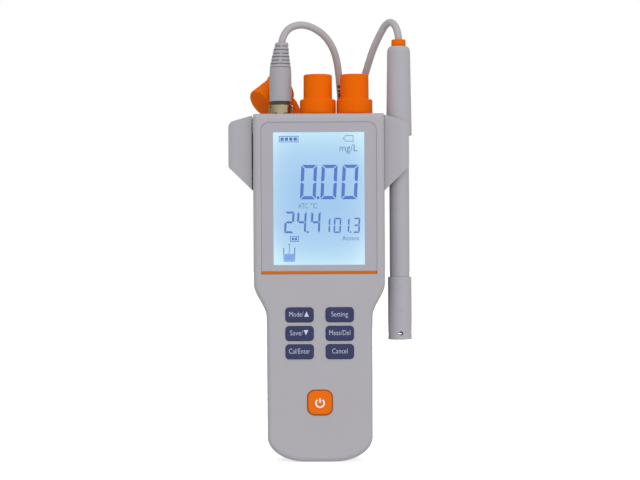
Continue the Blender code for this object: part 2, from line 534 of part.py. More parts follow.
# ---------------------------------------------------------------- probe
cord_collar = turned("cord_collar", ORANGE, [(0, 258.1), (4.1, 258.1), (4.5, 257.7), (4.5, 254.8), (0, 254.8)], PROBE_X, 0, 20, holder=probe_axis)
probe_handle = turned("probe_handle", GREY, [
    (0, HANDLE_TOP), (4.4, HANDLE_TOP), (5.9, 253.9), (6.8, 252.6), (HANDLE_R_TOP, 250.8), (HANDLE_R_LOW, HANDLE_LOW),
    (SHAFT_R + 0.3, HANDLE_LOW), (SHAFT_R + 0.3, SHAFT_TOP + 0.3), (0, SHAFT_TOP + 0.3),
], PROBE_X, 0, 28, holder=probe_axis)
probe_shaft = turned("probe_shaft", GREY, [(SHAFT_IN, SHAFT_TOP), (SHAFT_R, SHAFT_TOP), (SHAFT_R, SHAFT_LOW), (SHAFT_IN, SHAFT_LOW)], PROBE_X, 0, 28, closed=True, holder=probe_axis)
sensor_core = rods("sensor_core", MEMBRANE, "Z", [(PROBE_X, 0, 150.0, 4.1, 118.0)], 14, holder=probe_axis)
temperature_sensor = rods("temperature_sensor", STEEL, "Z", [(PROBE_X, 0, 88.4, 1.6, 4.0)], 10, holder=probe_axis)
sensor_seal = turned("sensor_seal", BLACK, [(4.4, 85.7), (5.9, 85.7), (5.9, 84.6), (4.4, 84.6)], PROBE_X, 0, 20, closed=True, holder=probe_axis)
membrane_cap = turned("membrane_cap", MEMBRANE, [(0, 84.3), (5.9, 84.3), (5.9, 78.4), (5.2, 77.3), (0, 77.3)], PROBE_X, 0, 24, holder=probe_axis)
sensor_guard = turned("sensor_guard", GREY, [
    (GUARD_IN, GUARD_TOP), (GUARD_R - 0.3, GUARD_TOP), (GUARD_R, GUARD_TOP - 0.4), (GUARD_R, GUARD_LOW + 0.5), (GUARD_R - 0.5, GUARD_LOW),
    (4.6, GUARD_LOW), (4.6, GUARD_LOW + 1.3), (GUARD_IN, GUARD_LOW + 2.6),
], PROBE_X, 0, 28, closed=True, holder=probe_axis)
cut(sensor_guard, rods("flow_holes_y", None, "Y", [(PROBE_X + 0.4, 0, 77.4, 1.3, 30.0)], 8), rods("flow_holes_x", None, "X", [(PROBE_X, 0, 77.4, 1.3, 30.0)], 8))

# ---------------------------------------------------------------- cord
plug_side = [
    (-23.4, 0.0, 258.8), (-23.0, 0.2, 260.4), (-21.7, 0.8, 262.4), (-19.3, 2.0, 264.7), (-15.8, 3.7, 266.8), (-10.9, 5.9, 267.9), (-5.9, 8.3, 267.1),
    (-1.0, 11.0, 264.7), (3.6, 13.9, 260.4), (7.7, 16.7, 254.2), (10.4, 18.8, 247.4), (12.3, 20.4, 240.0), (13.2, 21.3, 232.6), (13.5, LAYER_1_Y, 224.5),
    (13.5, LAYER_1_Y, 210.0), (13.5, LAYER_1_Y, 197.4),
]
cord_plug_side = tube("cord_plug_side", CORD, [place(-23.4, 0.0, 257.3)] + smooth_route([place(*p) for p in plug_side], 0.006), CORD_D / 2, 2)

turn_up = [(10 + 16 * math.sin(math.radians(a)), LAYER_2_Y, HANK_HIGH_Z + HANK_R + 16 - 16 * math.cos(math.radians(a))) for a in range(0, 91, 15)]
probe_side = [(9.0, LAYER_2_Y, HANK_HIGH_Z + HANK_R)] + turn_up + [
    (26.2, 26.2, 223.5), (26.8, 24.7, 229.8), (28.7, 22.0, 236.9), (30.7, 19.3, 243.7), (32.8, 17.1, 251.1), (35.3, 14.8, 258.5), (38.1, 11.6, 264.4),
    (41.2, 8.2, 268.4), (44.0, 5.2, 269.7), (46.6, 2.7, 268.0), (48.4, 1.1, 264.4), (49.3, 0.3, 261.6), (PROBE_X, 0.0, 259.8),
]
cord_probe_side = tube("cord_probe_side", CORD, smooth_route([place(*p) for p in probe_side], 0.006) + [place(PROBE_X, 0.0, 258.4)], CORD_D / 2, 2, holder=probe_axis)

wrap = HANK_R + CORD_D / 2 + 0.15
hank_outline = arc(HANK_X, HANK_LOW_Z, wrap, wrap, 180, 360, 12) + arc(HANK_X, HANK_HIGH_Z, wrap, wrap, 0, 180, 12)
cord_hank = slab("cord_hank", CORD, hank_outline, LAYER_1_Y - CORD_D / 2 + 0.05, LAYER_2_Y + CORD_D / 2 + 0.15)
tie_y0, tie_y1 = LAYER_1_Y - CORD_D / 2 + 0.05, LAYER_2_Y + CORD_D / 2 + 0.15
hank_tie = boxes("hank_tie", BLACK, ((HANK_X - wrap - 1.1, HANK_X + wrap + 1.1), (tie_y0 - 1.1, tie_y1 + 1.1), (155.0, 163.0)))
cut(hank_tie, boxes("tie_inside", None, ((HANK_X - wrap - 0.3, HANK_X + wrap + 0.3), (tie_y0 - 0.3, tie_y1 + 0.3), (150.0, 170.0))))

# ---------------------------------------------------------------- shading of round pieces
for obj in parts.objects:
    for modifier in obj.modifiers:
        if modifier.type == "SCREW":
            modifier.use_smooth_shade = True
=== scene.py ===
"""Looks of the handheld water quality meter and its probe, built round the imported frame.
Lengths are in millimetres and heights from the bottom of the case, until place() turns them into the frame's metres."""
import json
import math

import bmesh
import bpy
import numpy as np
from mathutils import Matrix, Vector


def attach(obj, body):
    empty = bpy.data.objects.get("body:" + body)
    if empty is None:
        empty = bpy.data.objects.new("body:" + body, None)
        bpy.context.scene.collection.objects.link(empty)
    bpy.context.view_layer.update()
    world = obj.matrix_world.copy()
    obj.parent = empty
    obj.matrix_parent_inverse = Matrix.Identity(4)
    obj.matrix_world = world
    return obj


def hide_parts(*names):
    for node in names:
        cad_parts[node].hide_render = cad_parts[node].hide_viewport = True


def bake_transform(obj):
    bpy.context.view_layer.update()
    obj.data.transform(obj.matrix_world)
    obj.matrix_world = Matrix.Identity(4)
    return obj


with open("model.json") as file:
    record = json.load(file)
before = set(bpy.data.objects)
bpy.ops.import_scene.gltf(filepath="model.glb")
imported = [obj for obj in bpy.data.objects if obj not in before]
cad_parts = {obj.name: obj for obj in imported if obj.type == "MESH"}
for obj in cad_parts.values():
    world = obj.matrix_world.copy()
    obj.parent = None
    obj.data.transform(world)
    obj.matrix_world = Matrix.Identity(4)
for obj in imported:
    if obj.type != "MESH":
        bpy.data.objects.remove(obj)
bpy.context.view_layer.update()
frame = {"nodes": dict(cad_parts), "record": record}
nodes = frame["nodes"]
record = frame["record"]
slot_of = {s["node"]: s["material_slot"] for s in record["subparts"]}

MM = 0.001
GRIP_Z = 50.0


def place(x, y, z):
    return Vector((x * MM, y * MM, (z - GRIP_Z) * MM))


def srgb(r, g, b):
    """A display colour of 0-255 parts as linear light."""
    out = []
    for v in (r, g, b):
        v = v / 255
        out.append(v / 12.92 if v <= 0.04045 else ((v + 0.055) / 1.055) ** 2.4)
    return tuple(out)


# ------------------------------------------------------------------ camera
camera_data = bpy.data.cameras.new("camera")
camera_data.sensor_width = 36.0
camera_data.lens = 92.66
camera_data.clip_start, camera_data.clip_end = 0.05, 50.0
camera = bpy.data.objects.new("camera", camera_data)
bpy.context.scene.collection.objects.link(camera)
camera.matrix_world = (
    Matrix.Translation(place(0.5, -1017.5, 134.9)) @ Matrix.Rotation(math.radians(90), 4, "X") @ Matrix.Rotation(math.radians(-0.3), 4, "Z")
)
bpy.context.scene.camera = camera


# ------------------------------------------------------------------ materials
def new_material(name):
    mat = bpy.data.materials.new(name)
    mat.use_nodes = True
    tree = mat.node_tree
    shader = tree.nodes["Principled BSDF"]
    coord = tree.nodes.new("ShaderNodeTexCoord")
    return mat, tree, shader, coord


def noise(tree, coord, scale, detail=3.0, roughness=0.55, stretch=None):
    node = tree.nodes.new("ShaderNodeTexNoise")
    node.inputs["Scale"].default_value = scale
    node.inputs["Detail"].default_value = detail
    node.inputs["Roughness"].default_value = roughness
    if stretch:
        mapping = tree.nodes.new("ShaderNodeMapping")
        mapping.inputs["Scale"].default_value = stretch
        tree.links.new(coord.outputs["Object"], mapping.inputs["Vector"])
        tree.links.new(mapping.outputs["Vector"], node.inputs["Vector"])
    else:
        tree.links.new(coord.outputs["Object"], node.inputs["Vector"])
    return node


def ramp(tree, source, stops):
    node = tree.nodes.new("ShaderNodeValToRGB")
    node.color_ramp.elements[0].position = stops[0][0]
    node.color_ramp.elements[0].color = (*stops[0][1], 1)
    node.color_ramp.elements[1].position = stops[-1][0]
    node.color_ramp.elements[1].color = (*stops[-1][1], 1)
    for position, colour in stops[1:-1]:
        element = node.color_ramp.elements.new(position)
        element.color = (*colour, 1)
    tree.links.new(source, node.inputs["Fac"])
    return node


def shade(colour, k):
    return tuple(min(1.0, c * k) for c in colour)


def moulded(name, colour, roughness, grain=1400.0, bump=0.25, depth=0.00004, mottle=0.05, spread=0.08, metallic=0.0, stretch=None, sheen=0.0, specular=0.5):
    """A moulded or cast surface: fine grain in the bump, slow mottling in the colour, and a roughness that wanders."""
    mat, tree, shader, coord = new_material(name)
    slow = noise(tree, coord, 38.0, 4.0)
    tint = ramp(tree, slow.outputs["Fac"], [(0.25, shade(colour, 1 - mottle)), (0.5, colour), (0.78, shade(colour, 1 + mottle))])
    tree.links.new(tint.outputs["Color"], shader.inputs["Base Color"])
    medium = noise(tree, coord, 260.0, 3.0)
    rough = tree.nodes.new("ShaderNodeMapRange")
    rough.inputs["From Min"].default_value = 0.3
    rough.inputs["From Max"].default_value = 0.7
    rough.inputs["To Min"].default_value = max(0.03, roughness - spread)
    rough.inputs["To Max"].default_value = min(1.0, roughness + spread)
    tree.links.new(medium.outputs["Fac"], rough.inputs["Value"])
    tree.links.new(rough.outputs["Result"], shader.inputs["Roughness"])
    fine = noise(tree, coord, grain, 2.0, 0.6, stretch)
    made = tree.nodes.new("ShaderNodeBump")
    made.inputs["Strength"].default_value = bump
    made.inputs["Distance"].default_value = depth
    tree.links.new(fine.outputs["Fac"], made.inputs["Height"])
    tree.links.new(made.outputs["Normal"], shader.inputs["Normal"])
    shader.inputs["Metallic"].default_value = metallic
    shader.inputs["Specular IOR Level"].default_value = specular
    if sheen:
        shader.inputs["Sheen Weight"].default_value = sheen
        shader.inputs["Sheen Roughness"].default_value = 0.5
    return mat


M = {}
M["grey_abs"] = moulded("moulded_grey", srgb(171, 169, 175), 0.52, 2600, 0.35, 0.00005, 0.018)
M["bezel_grey"] = moulded("bezel_film", srgb(168, 165, 174), 0.42, 3800, 0.2, 0.00002, 0.012)
M["orange_rubber"] = moulded("orange_rubber", srgb(233, 103, 0), 0.6, 2200, 0.3, 0.00005, 0.03, specular=0.05)
M["orange_plastic"] = moulded("orange_plastic", srgb(234, 108, 2), 0.42, 2600, 0.2, 0.00002, 0.02, specular=0.10)
M["accent_orange"] = moulded("accent_orange", srgb(205, 102, 8), 0.42, 2600, 0.2, 0.00002, 0.02, specular=0.14)
# A darker copy of the key's orange: painted shade for the dark outline round the power key.
M["orange_rim_painted_shade"] = moulded("orange_rim_painted_shade", srgb(168, 82, 18), 0.5, 2600, 0.2, 0.00002, 0.03, specular=0.1)
M["navy_rubber"] = moulded("navy_key_rubber", srgb(56, 61, 97), 0.6, 2400, 0.25, 0.00004, 0.04, specular=0.16)
M["black_rubber"] = moulded("black_rubber", (0.025, 0.025, 0.026), 0.7, 1800, 0.4, 0.00006, 0.12)
M["black_plastic"] = moulded("black_plastic", (0.03, 0.03, 0.032), 0.45, 2200, 0.3, 0.00004, 0.1)
M["circuit_board"] = moulded("solder_mask", (0.02, 0.16, 0.06), 0.35, 700, 0.3, 0.00004, 0.15)
M["nickel"] = moulded("nickel_plate", srgb(163, 152, 121), 0.26, 1800, 0.3, 0.00003, 0.10, 0.10, 1.0, stretch=(1, 1, 7))
M["steel"] = moulded("screw_steel", srgb(178, 178, 180), 0.32, 1500, 0.3, 0.00003, 0.08, 0.1, 1.0)
M["jacket_print"] = moulded("jacket_print", (0.035, 0.033, 0.035), 0.6, 900, 0.15, 0.00002, 0.06, 0.06)
M["cell_jacket"] = moulded("cell_jacket", (0.10, 0.12, 0.16), 0.3, 900, 0.15, 0.00002, 0.06, 0.06, 0.3)
M["grey_pvc"] = moulded("cord_pvc", srgb(172, 168, 171), 0.5, 1900, 0.35, 0.00005, 0.03)
M["plug_grey"] = moulded("plug_overmould_grey", srgb(162, 160, 166), 0.5, 1900, 0.35, 0.00005, 0.03)
M["tip_grey"] = moulded("tip_grey", srgb(120, 118, 122), 0.5, 1900, 0.35, 0.00005, 0.03)
M["white_diffuser"] = moulded("white_diffuser", (0.85, 0.87, 0.9), 0.4, 1500, 0.2, 0.00003, 0.02)
M["fabric_tie"] = moulded("hook_tape", (0.02, 0.02, 0.022), 0.85, 900, 0.9, 0.00025, 0.25, sheen=0.4, stretch=(1, 1, 3))
M["key_ink"] = moulded("key_ink", srgb(206, 208, 226), 0.55, 2600, 0.2, 0.00001, 0.015)
M["legend_white"] = moulded("legend_ink", srgb(240, 240, 244), 0.55, 2600, 0.2, 0.00001, 0.015)
# Near-black ring colour: painted shade for the groove between the plug's nut and its overmould.
M["groove_painted_shade"] = moulded("groove_painted_shade", (0.05, 0.045, 0.05), 0.55, 1800, 0.3, 0.00004, 0.1)


def clear_plate(name):
    mat, tree, shader, coord = new_material(name)
    shader.inputs["Base Color"].default_value = (0.55, 0.68, 0.8, 1)
    shader.inputs["Specular IOR Level"].default_value = 0.18
    shader.inputs["Alpha"].default_value = 0.03
    shader.inputs["IOR"].default_value = 1.49
    fine = noise(tree, coord, 60.0, 3.0)
    rough = tree.nodes.new("ShaderNodeMapRange")
    rough.inputs["To Min"].default_value = 0.03
    rough.inputs["To Max"].default_value = 0.09
    tree.links.new(fine.outputs["Fac"], rough.inputs["Value"])
    tree.links.new(rough.outputs["Result"], shader.inputs["Roughness"])
    return mat


def lit_screen(name):
    """The back-lit glass: bluer in the middle, paler towards its edges where the light comes in."""
    mat, tree, shader, coord = new_material(name)
    split = tree.nodes.new("ShaderNodeSeparateXYZ")
    tree.links.new(coord.outputs["Object"], split.inputs["Vector"])

    def maths(operation, a, b=None, c=None):
        node = tree.nodes.new("ShaderNodeMath")
        node.operation = operation
        for k, value in enumerate((a, b, c)):
            if value is None:
                continue
            if isinstance(value, (int, float)):
                node.inputs[k].default_value = value
            else:
                tree.links.new(value, node.inputs[k])
        return node.outputs[0]

    across = maths("POWER", maths("ABSOLUTE", maths("DIVIDE", split.outputs["X"], 0.02775)), 4.0)
    middle = (160.15 - GRIP_Z) * MM
    up = maths("POWER", maths("ABSOLUTE", maths("DIVIDE", maths("SUBTRACT", split.outputs["Z"], middle), 0.04035)), 2.6)
    cloud = noise(tree, coord, 26.0, 2.0)
    total = maths("ADD", maths("MULTIPLY", across, 0.45), maths("MULTIPLY", up, 0.8))
    total = maths("ADD", total, maths("MULTIPLY", maths("SUBTRACT", cloud.outputs["Fac"], 0.5), 0.30))
    glow = ramp(tree, total, [(0.0, srgb(158, 199, 238)), (0.35, srgb(172, 212, 242)), (1.0, srgb(205, 240, 254))])
    shader.inputs["Base Color"].default_value = (0.01, 0.015, 0.02, 1)
    shader.inputs["Roughness"].default_value = 0.25
    tree.links.new(glow.outputs["Color"], shader.inputs["Emission Color"])
    shader.inputs["Emission Strength"].default_value = 0.97
    return mat


def lit_ink(name, colour, k=0.95):
    mat, tree, shader, coord = new_material(name)
    fine = noise(tree, coord, 300.0, 2.0)
    tint = ramp(tree, fine.outputs["Fac"], [(0.3, shade(colour, 0.93)), (0.7, shade(colour, 1.06))])
    shader.inputs["Base Color"].default_value = (0.01, 0.012, 0.03, 1)
    shader.inputs["Roughness"].default_value = 0.3
    tree.links.new(tint.outputs["Color"], shader.inputs["Emission Color"])
    shader.inputs["Emission Strength"].default_value = k
    return mat


M["clear_plastic"] = clear_plate("clear_window")
M["lcd"] = lit_screen("lit_lcd")
M["segment_dark"] = lit_ink("lcd_segment", srgb(62, 108, 196))
M["segment_mid"] = lit_ink("lcd_segment_small", srgb(62, 106, 186))
M["segment_faint"] = lit_ink("lcd_mark", srgb(88, 126, 172))
M["segment_fill"] = lit_ink("lcd_fill", srgb(118, 164, 232))

# ------------------------------------------------------------------ mesh helpers
collection = bpy.data.collections.new("looks")
bpy.context.scene.collection.children.link(collection)


def finish_mesh(mesh, angle=35.0):
    mesh.shade_smooth()
    mesh.set_sharp_from_angle(angle=math.radians(angle))
    return mesh


def weighted(obj):
    """The object's mesh with its normals weighted by face area, so flat faces stay flat beside rounded edges."""
    modifier = obj.modifiers.new("w", "WEIGHTED_NORMAL")
    modifier.keep_sharp = True
    bpy.context.view_layer.update()
    mesh = bpy.data.meshes.new_from_object(obj.evaluated_get(bpy.context.evaluated_depsgraph_get()))
    old = obj.data
    obj.modifiers.clear()
    obj.data = mesh
    name = old.name
    bpy.data.meshes.remove(old)
    mesh.name = name


def make(name, bm_or_mesh, mat, body=None, angle=35.0, smooth=True):
    if isinstance(bm_or_mesh, bmesh.types.BMesh):
        mesh = bpy.data.meshes.new(name)
        bmesh.ops.recalc_face_normals(bm_or_mesh, faces=bm_or_mesh.faces)
        bm_or_mesh.to_mesh(mesh)
        bm_or_mesh.free()
    else:
        mesh = bm_or_mesh
    if smooth:
        finish_mesh(mesh, angle)
    obj = bpy.data.objects.new(name, mesh)
    collection.objects.link(obj)
    if mat is not None:
        mesh.materials.append(M[mat] if isinstance(mat, str) else mat)
    if smooth:
        weighted(obj)
    if body is not None:
        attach(obj, body)
    return obj


def helper(bm):
    mesh = bpy.data.meshes.new("helper")
    bmesh.ops.recalc_face_normals(bm, faces=bm.faces)
    bm.to_mesh(mesh)
    bm.free()
    obj = bpy.data.objects.new("helper", mesh)
    collection.objects.link(obj)
    return obj


def boolean(bm, others, operation="DIFFERENCE"):
    """The BMesh with each other BMesh taken from it, or joined to it."""
    obj = helper(bm)
    made = [helper(o) for o in others]
    for other in made:
        modifier = obj.modifiers.new("b", "BOOLEAN")
        modifier.operation = operation
        modifier.object = other
        modifier.solver = "EXACT"
    bpy.context.view_layer.update()
    result = bpy.data.meshes.new_from_object(obj.evaluated_get(bpy.context.evaluated_depsgraph_get()))
    for o in [obj, *made]:
        data = o.data
        bpy.data.objects.remove(o, do_unlink=True)
        bpy.data.meshes.remove(data)
    out = bmesh.new()
    out.from_mesh(result)
    bpy.data.meshes.remove(result)
    bmesh.ops.remove_doubles(out, verts=out.verts, dist=1e-7)
    bmesh.ops.dissolve_degenerate(out, edges=out.edges, dist=1e-7)
    return out


def bevelled(bm, width, segments=2, angle=32.0):
    """The BMesh with its sharp edges rounded."""
    obj = helper(bm)
    modifier = obj.modifiers.new("bevel", "BEVEL")
    modifier.width = width * MM
    modifier.segments = segments
    modifier.limit_method = "ANGLE"
    modifier.angle_limit = math.radians(angle)
    modifier.use_clamp_overlap = True
    modifier.miter_outer = "MITER_ARC"
    bpy.context.view_layer.update()
    result = bpy.data.meshes.new_from_object(obj.evaluated_get(bpy.context.evaluated_depsgraph_get()))
    data = obj.data
    bpy.data.objects.remove(obj, do_unlink=True)
    bpy.data.meshes.remove(data)
    out = bmesh.new()
    out.from_mesh(result)
    bpy.data.meshes.remove(result)
    return out


def arc(cx, cz, rx, rz, start, end, count):
    angles = [math.radians(start + (end - start) * i / count) for i in range(count + 1)]
    return [(cx + rx * math.cos(a), cz + rz * math.sin(a)) for a in angles]


def rounded(cx, cz, width, height, radius, steps=8):
    w, h = width / 2 - radius, height / 2 - radius
    return (
        arc(cx + w, cz - h, radius, radius, -90, 0, steps) + arc(cx + w, cz + h, radius, radius, 0, 90, steps)
        + arc(cx - w, cz + h, radius, radius, 90, 180, steps) + arc(cx - w, cz - h, radius, radius, 180, 270, steps)
    )


def loft(rings, axis="Y"):
    """A closed skin through rings of (level, [(a, b), ...]); the level runs along Y, or along Z with the points in XY."""
    bm = bmesh.new()
    point = (lambda l, a, b: place(a, l, b)) if axis == "Y" else (lambda l, a, b: place(a, b, l))
    rows = [[bm.verts.new(point(level, a, b)) for a, b in ring] for level, ring in rings]
    for near, far in zip(rows, rows[1:]):
        for i in range(len(near)):
            j = (i + 1) % len(near)
            bm.faces.new((near[i], near[j], far[j], far[i]))
    bm.faces.new(rows[0])
    bm.faces.new(rows[-1])
    bmesh.ops.recalc_face_normals(bm, faces=bm.faces)
    return bm


def slab(outline, low, high, axis="Y"):
    return loft([(low, outline), (high, outline)], axis)


def block(*spans):
    bm = bmesh.new()
    for (x0, x1), (y0, y1), (z0, z1) in spans:
        verts = bmesh.ops.create_cube(bm, size=1.0)["verts"]
        bmesh.ops.scale(bm, verts=verts, vec=((x1 - x0) * MM, (y1 - y0) * MM, (z1 - z0) * MM))
        bmesh.ops.translate(bm, verts=verts, vec=place((x0 + x1) / 2, (y0 + y1) / 2, (z0 + z1) / 2))
    return bm


def rods(axis, rows, segments=32):
    turn = {"X": Matrix.Rotation(math.pi / 2, 4, "Y"), "Y": Matrix.Rotation(math.pi / 2, 4, "X"), "Z": Matrix.Identity(4)}[axis]
    bm = bmesh.new()
    for x, y, z, radius, length in rows:
        bmesh.ops.create_cone(bm, cap_ends=True, segments=segments, radius1=radius * MM, radius2=radius * MM, depth=length * MM,
                              matrix=Matrix.Translation(place(x, y, z)) @ turn)
    return bm


def softened(profile, radius, closed=False, steps=3):
    """A profile with its corners rounded, by short curves that start at most a radius from each corner."""
    count = len(profile)
    out = []
    for i, (r, h) in enumerate(profile):
        if not closed and i in (0, count - 1):
            out.append((r, h))
            continue
        p, q, n = Vector(profile[i - 1]), Vector((r, h)), Vector(profile[(i + 1) % count])
        a, b = p - q, n - q
        if a.length < 1e-6 or b.length < 1e-6 or a.normalized().dot(b.normalized()) < -0.97:
            out.append((r, h))
            continue
        da, db = min(radius, a.length * 0.45), min(radius, b.length * 0.45)
        s, e = q + a.normalized() * da, q + b.normalized() * db
        for k in range(steps + 1):
            t = k / steps
            v = s * (1 - t) ** 2 + q * (2 * t * (1 - t)) + e * t * t
            out.append((max(0.0, v.x), v.y))
    return out


def lathe(profile, x, y, steps=64, closed=False, matrix=None, wobble=None):
    """A (radius, height) profile turned about an upright axis, or about the Z of a matrix."""
    bm = bmesh.new()
    base = matrix if matrix is not None else Matrix.Translation(place(x, y, 0))
    rows = []
    for r, h in profile:
        if r < 1e-6:
            rows.append([bm.verts.new(base @ Vector((0, 0, h * MM)))])
            continue
        ring = []
        for k in range(steps):
            a = 2 * math.pi * k / steps
            rr = r if wobble is None else wobble(r, h, a)
            ring.append(bm.verts.new(base @ Vector((rr * MM * math.cos(a), rr * MM * math.sin(a), h * MM))))
        rows.append(ring)
    pairs = list(zip(rows, rows[1:])) + ([(rows[-1], rows[0])] if closed else [])
    for near, far in pairs:
        for k in range(steps):
            j = (k + 1) % steps
            if len(near) == 1 and len(far) == 1:
                continue
            if len(near) == 1:
                bm.faces.new((near[0], far[j], far[k]))
            elif len(far) == 1:
                bm.faces.new((near[k], near[j], far[0]))
            else:
                bm.faces.new((near[k], near[j], far[j], far[k]))
    bmesh.ops.recalc_face_normals(bm, faces=bm.faces)
    return bm


def joined(*parts):
    """Several BMeshes as one."""
    out = bmesh.new()
    for part in parts:
        mesh = bpy.data.meshes.new("t")
        part.to_mesh(mesh)
        part.free()
        out.from_mesh(mesh)
        bpy.data.meshes.remove(mesh)
    return out


def tube_mesh(points, radius, sides=14, flatten=None):
    """A round or flattened tube along points in metres, closed at both ends, with a frame carried along it."""
    pts = [Vector(p) for p in points]
    tangents = []
    for i in range(len(pts)):
        a, b = pts[max(0, i - 1)], pts[min(len(pts) - 1, i + 1)]
        tangents.append((b - a).normalized())
    side = tangents[0].orthogonal().normalized()
    if flatten is not None:
        side = (Vector(flatten[0]) - tangents[0] * Vector(flatten[0]).dot(tangents[0])).normalized()
    bm = bmesh.new()
    rows = []
    for i, (p, t) in enumerate(zip(pts, tangents)):
        side = (side - t * side.dot(t)).normalized()
        up = t.cross(side)
        kx, ky = (1.0, 1.0) if flatten is None else flatten[1]
        rows.append([bm.verts.new(p + side * (math.cos(2 * math.pi * k / sides) * radius * kx) + up * (math.sin(2 * math.pi * k / sides) * radius * ky)) for k in range(sides)])
    for near, far in zip(rows, rows[1:]):
        for k in range(sides):
            j = (k + 1) % sides
            bm.faces.new((near[k], near[j], far[j], far[k]))
    bm.faces.new(rows[0])
    bm.faces.new(rows[-1])
    bmesh.ops.recalc_face_normals(bm, faces=bm.faces)
    return bm


def smooth_route(points, spacing):
    ends = [points[0] * 2 - points[1]] + list(points) + [points[-1] * 2 - points[-2]]
    fine = []
    for i in range(1, len(ends) - 2):
        a, b, c, d = ends[i - 1 : i + 3]
        for k in range(24):
            t = k / 24
            fine.append(0.5 * ((2 * b) + (c - a) * t + (2 * a - 5 * b + 4 * c - d) * t * t + (3 * b - 3 * c + d - a) * t * t * t))
    fine.append(Vector(points[-1]))
    total = [0.0]
    for p, q in zip(fine, fine[1:]):
        total.append(total[-1] + (q - p).length)
    count = max(2, round(total[-1] / spacing))
    out, k = [], 0
    for i in range(count + 1):
        want = total[-1] * i / count
        while k < len(total) - 2 and total[k + 1] < want:
            k += 1
        part = (want - total[k]) / max(total[k + 1] - total[k], 1e-9)
        out.append(fine[k].lerp(fine[k + 1], part))
    return out


def relaxed(points, rounds, keep=2):
    """The route with its small kinks eased out; the ends stay."""
    pts = [Vector(p) for p in points]
    for _ in range(rounds):
        new = list(pts)
        for i in range(keep, len(pts) - keep):
            new[i] = pts[i] * 0.5 + (pts[i - 1] + pts[i + 1]) * 0.25
        pts = new
    return pts


# ------------------------------------------------------------------ the electrode cord
PROBE_X = 49.6
CORD_D = 4.5
HANK_X, HANK_LOW_Z, HANK_HIGH_Z, HANK_R, HANK_R_IN = -4.5, 134.0, 184.0, 18.0, 13.5
LAYER_1_Y, LAYER_2_Y = 21.6, 26.5

plug_side = [
    (-22.5, 0.0, 256.6), (-22.3, 0.0, 258.2), (-21.6, 0.3, 260.6), (-20.4, 0.9, 263.2), (-18.1, 1.8, 265.8), (-14.6, 3.1, 267.7), (-10.2, 4.6, 268.5), (-6.0, 6.0, 267.9),
    (-2.0, 7.6, 266.3), (1.4, 9.1, 264.3), (4.4, 10.8, 261.8), (7.4, 12.8, 258.0), (9.8, 14.8, 253.4), (11.2, 16.4, 249.0), (12.1, 17.8, 244.4), (12.9, 19.6, 238.0),
    (13.5, 21.0, 231.0), (14.0, LAYER_1_Y, 223.5), (13.9, LAYER_1_Y, 210.0), (13.5, LAYER_1_Y, 197.4), (13.5, LAYER_1_Y, 186.0),
]
turn_up = [(10 + 16 * math.sin(math.radians(a)), LAYER_2_Y, HANK_HIGH_Z + HANK_R + 16 - 16 * math.cos(math.radians(a))) for a in range(0, 91, 15)]
probe_side = [(0.0, LAYER_2_Y, HANK_HIGH_Z + HANK_R), (5.0, LAYER_2_Y, HANK_HIGH_Z + HANK_R)] + turn_up + [
    (26.2, 26.2, 223.5), (27.1, 24.7, 230.6), (29.3, 21.4, 238.4), (31.0, 19.0, 244.0), (32.8, 16.6, 249.6), (34.8, 14.3, 255.0), (37.4, 11.8, 260.6),
    (40.8, 8.4, 266.9), (42.7, 6.4, 269.3), (44.7, 4.6, 270.2), (46.8, 2.8, 268.9), (48.4, 1.3, 265.7), (49.3, 0.4, 262.2), (PROBE_X, 0.0, 259.8), (PROBE_X, 0.0, 258.2),
]


def track(u, radius):
    """A point of the hank's racetrack: down the right run, round below, up the left run and over the top."""
    run = HANK_HIGH_Z - HANK_LOW_Z
    around = 2 * run + 2 * math.pi * radius
    s = (u % 1.0) * around
    if s < run:
        return HANK_X + radius, HANK_HIGH_Z - s
    s -= run
    if s < math.pi * radius:
        a = s / radius
        return HANK_X + radius * math.cos(a), HANK_LOW_Z - radius * math.sin(a)
    s -= math.pi * radius
    if s < run:
        return HANK_X - radius, HANK_LOW_Z + s
    s -= run
    a = s / radius
    return HANK_X - radius * math.cos(a), HANK_HIGH_Z + radius * math.sin(a)


def ease(t):
    t = min(1.0, max(0.0, t))
    return t * t * (3 - 2 * t)


def hank_point(v):
    """The hank's line by turns: outer then inner in the front layer, inner then outer in the back one."""
    turn, u = int(v), v % 1.0
    f = ease((u - 0.87) / 0.13)
    lift = 0.9 * math.sin(math.pi * f) if 0 < f < 1 else 0.0
    if turn == 0:
        radius, y = HANK_R + (HANK_R_IN - HANK_R) * f, LAYER_1_Y - lift
    elif turn == 1:
        radius, y = HANK_R_IN, LAYER_1_Y + (LAYER_2_Y - LAYER_1_Y) * f
    elif turn == 2:
        radius, y = HANK_R_IN + (HANK_R - HANK_R_IN) * f, LAYER_2_Y + lift
    else:
        radius, y = HANK_R, LAYER_2_Y
    x, z = track(u, radius)
    return x, y, z


top_u = (2 * (HANK_HIGH_Z - HANK_LOW_Z) + 1.5 * math.pi * HANK_R) / (2 * (HANK_HIGH_Z - HANK_LOW_Z) + 2 * math.pi * HANK_R)
hank = [hank_point(0.012 + (3 + top_u - 0.024) * k / 180) for k in range(181)]
route = [place(*p) for p in plug_side] + [place(*p) for p in hank] + [place(*p) for p in probe_side]
cord_path = relaxed(smooth_route(route, 0.0012), 6)
cord_length = sum((q - p).length for p, q in zip(cord_path, cord_path[1:]))
cord = make("electrode_cord", tube_mesh(cord_path, CORD_D / 2 * MM, 14), "grey_pvc", None)
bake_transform(cord)
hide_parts("cord_plug_side", "cord_hank", "cord_probe_side")
print("cord length", round(cord_length, 4))

# Dark marks along the cord's jacket, seen between the two closed caps. They are plain dashes.
plug_apex = max(range(len(cord_path) // 4), key=lambda k: cord_path[k].z)


def on_drop(height):
    """The point and the direction of the cord's drop behind the caps, at a height in mm."""
    z = Vector(place(0, 0, height)).z
    k = next(k for k in range(plug_apex, len(cord_path) - 1) if cord_path[k + 1].z <= z)
    near, far = cord_path[k], cord_path[k + 1]
    return near.lerp(far, (near.z - z) / max(near.z - far.z, 1e-9)), (far - near).normalized()


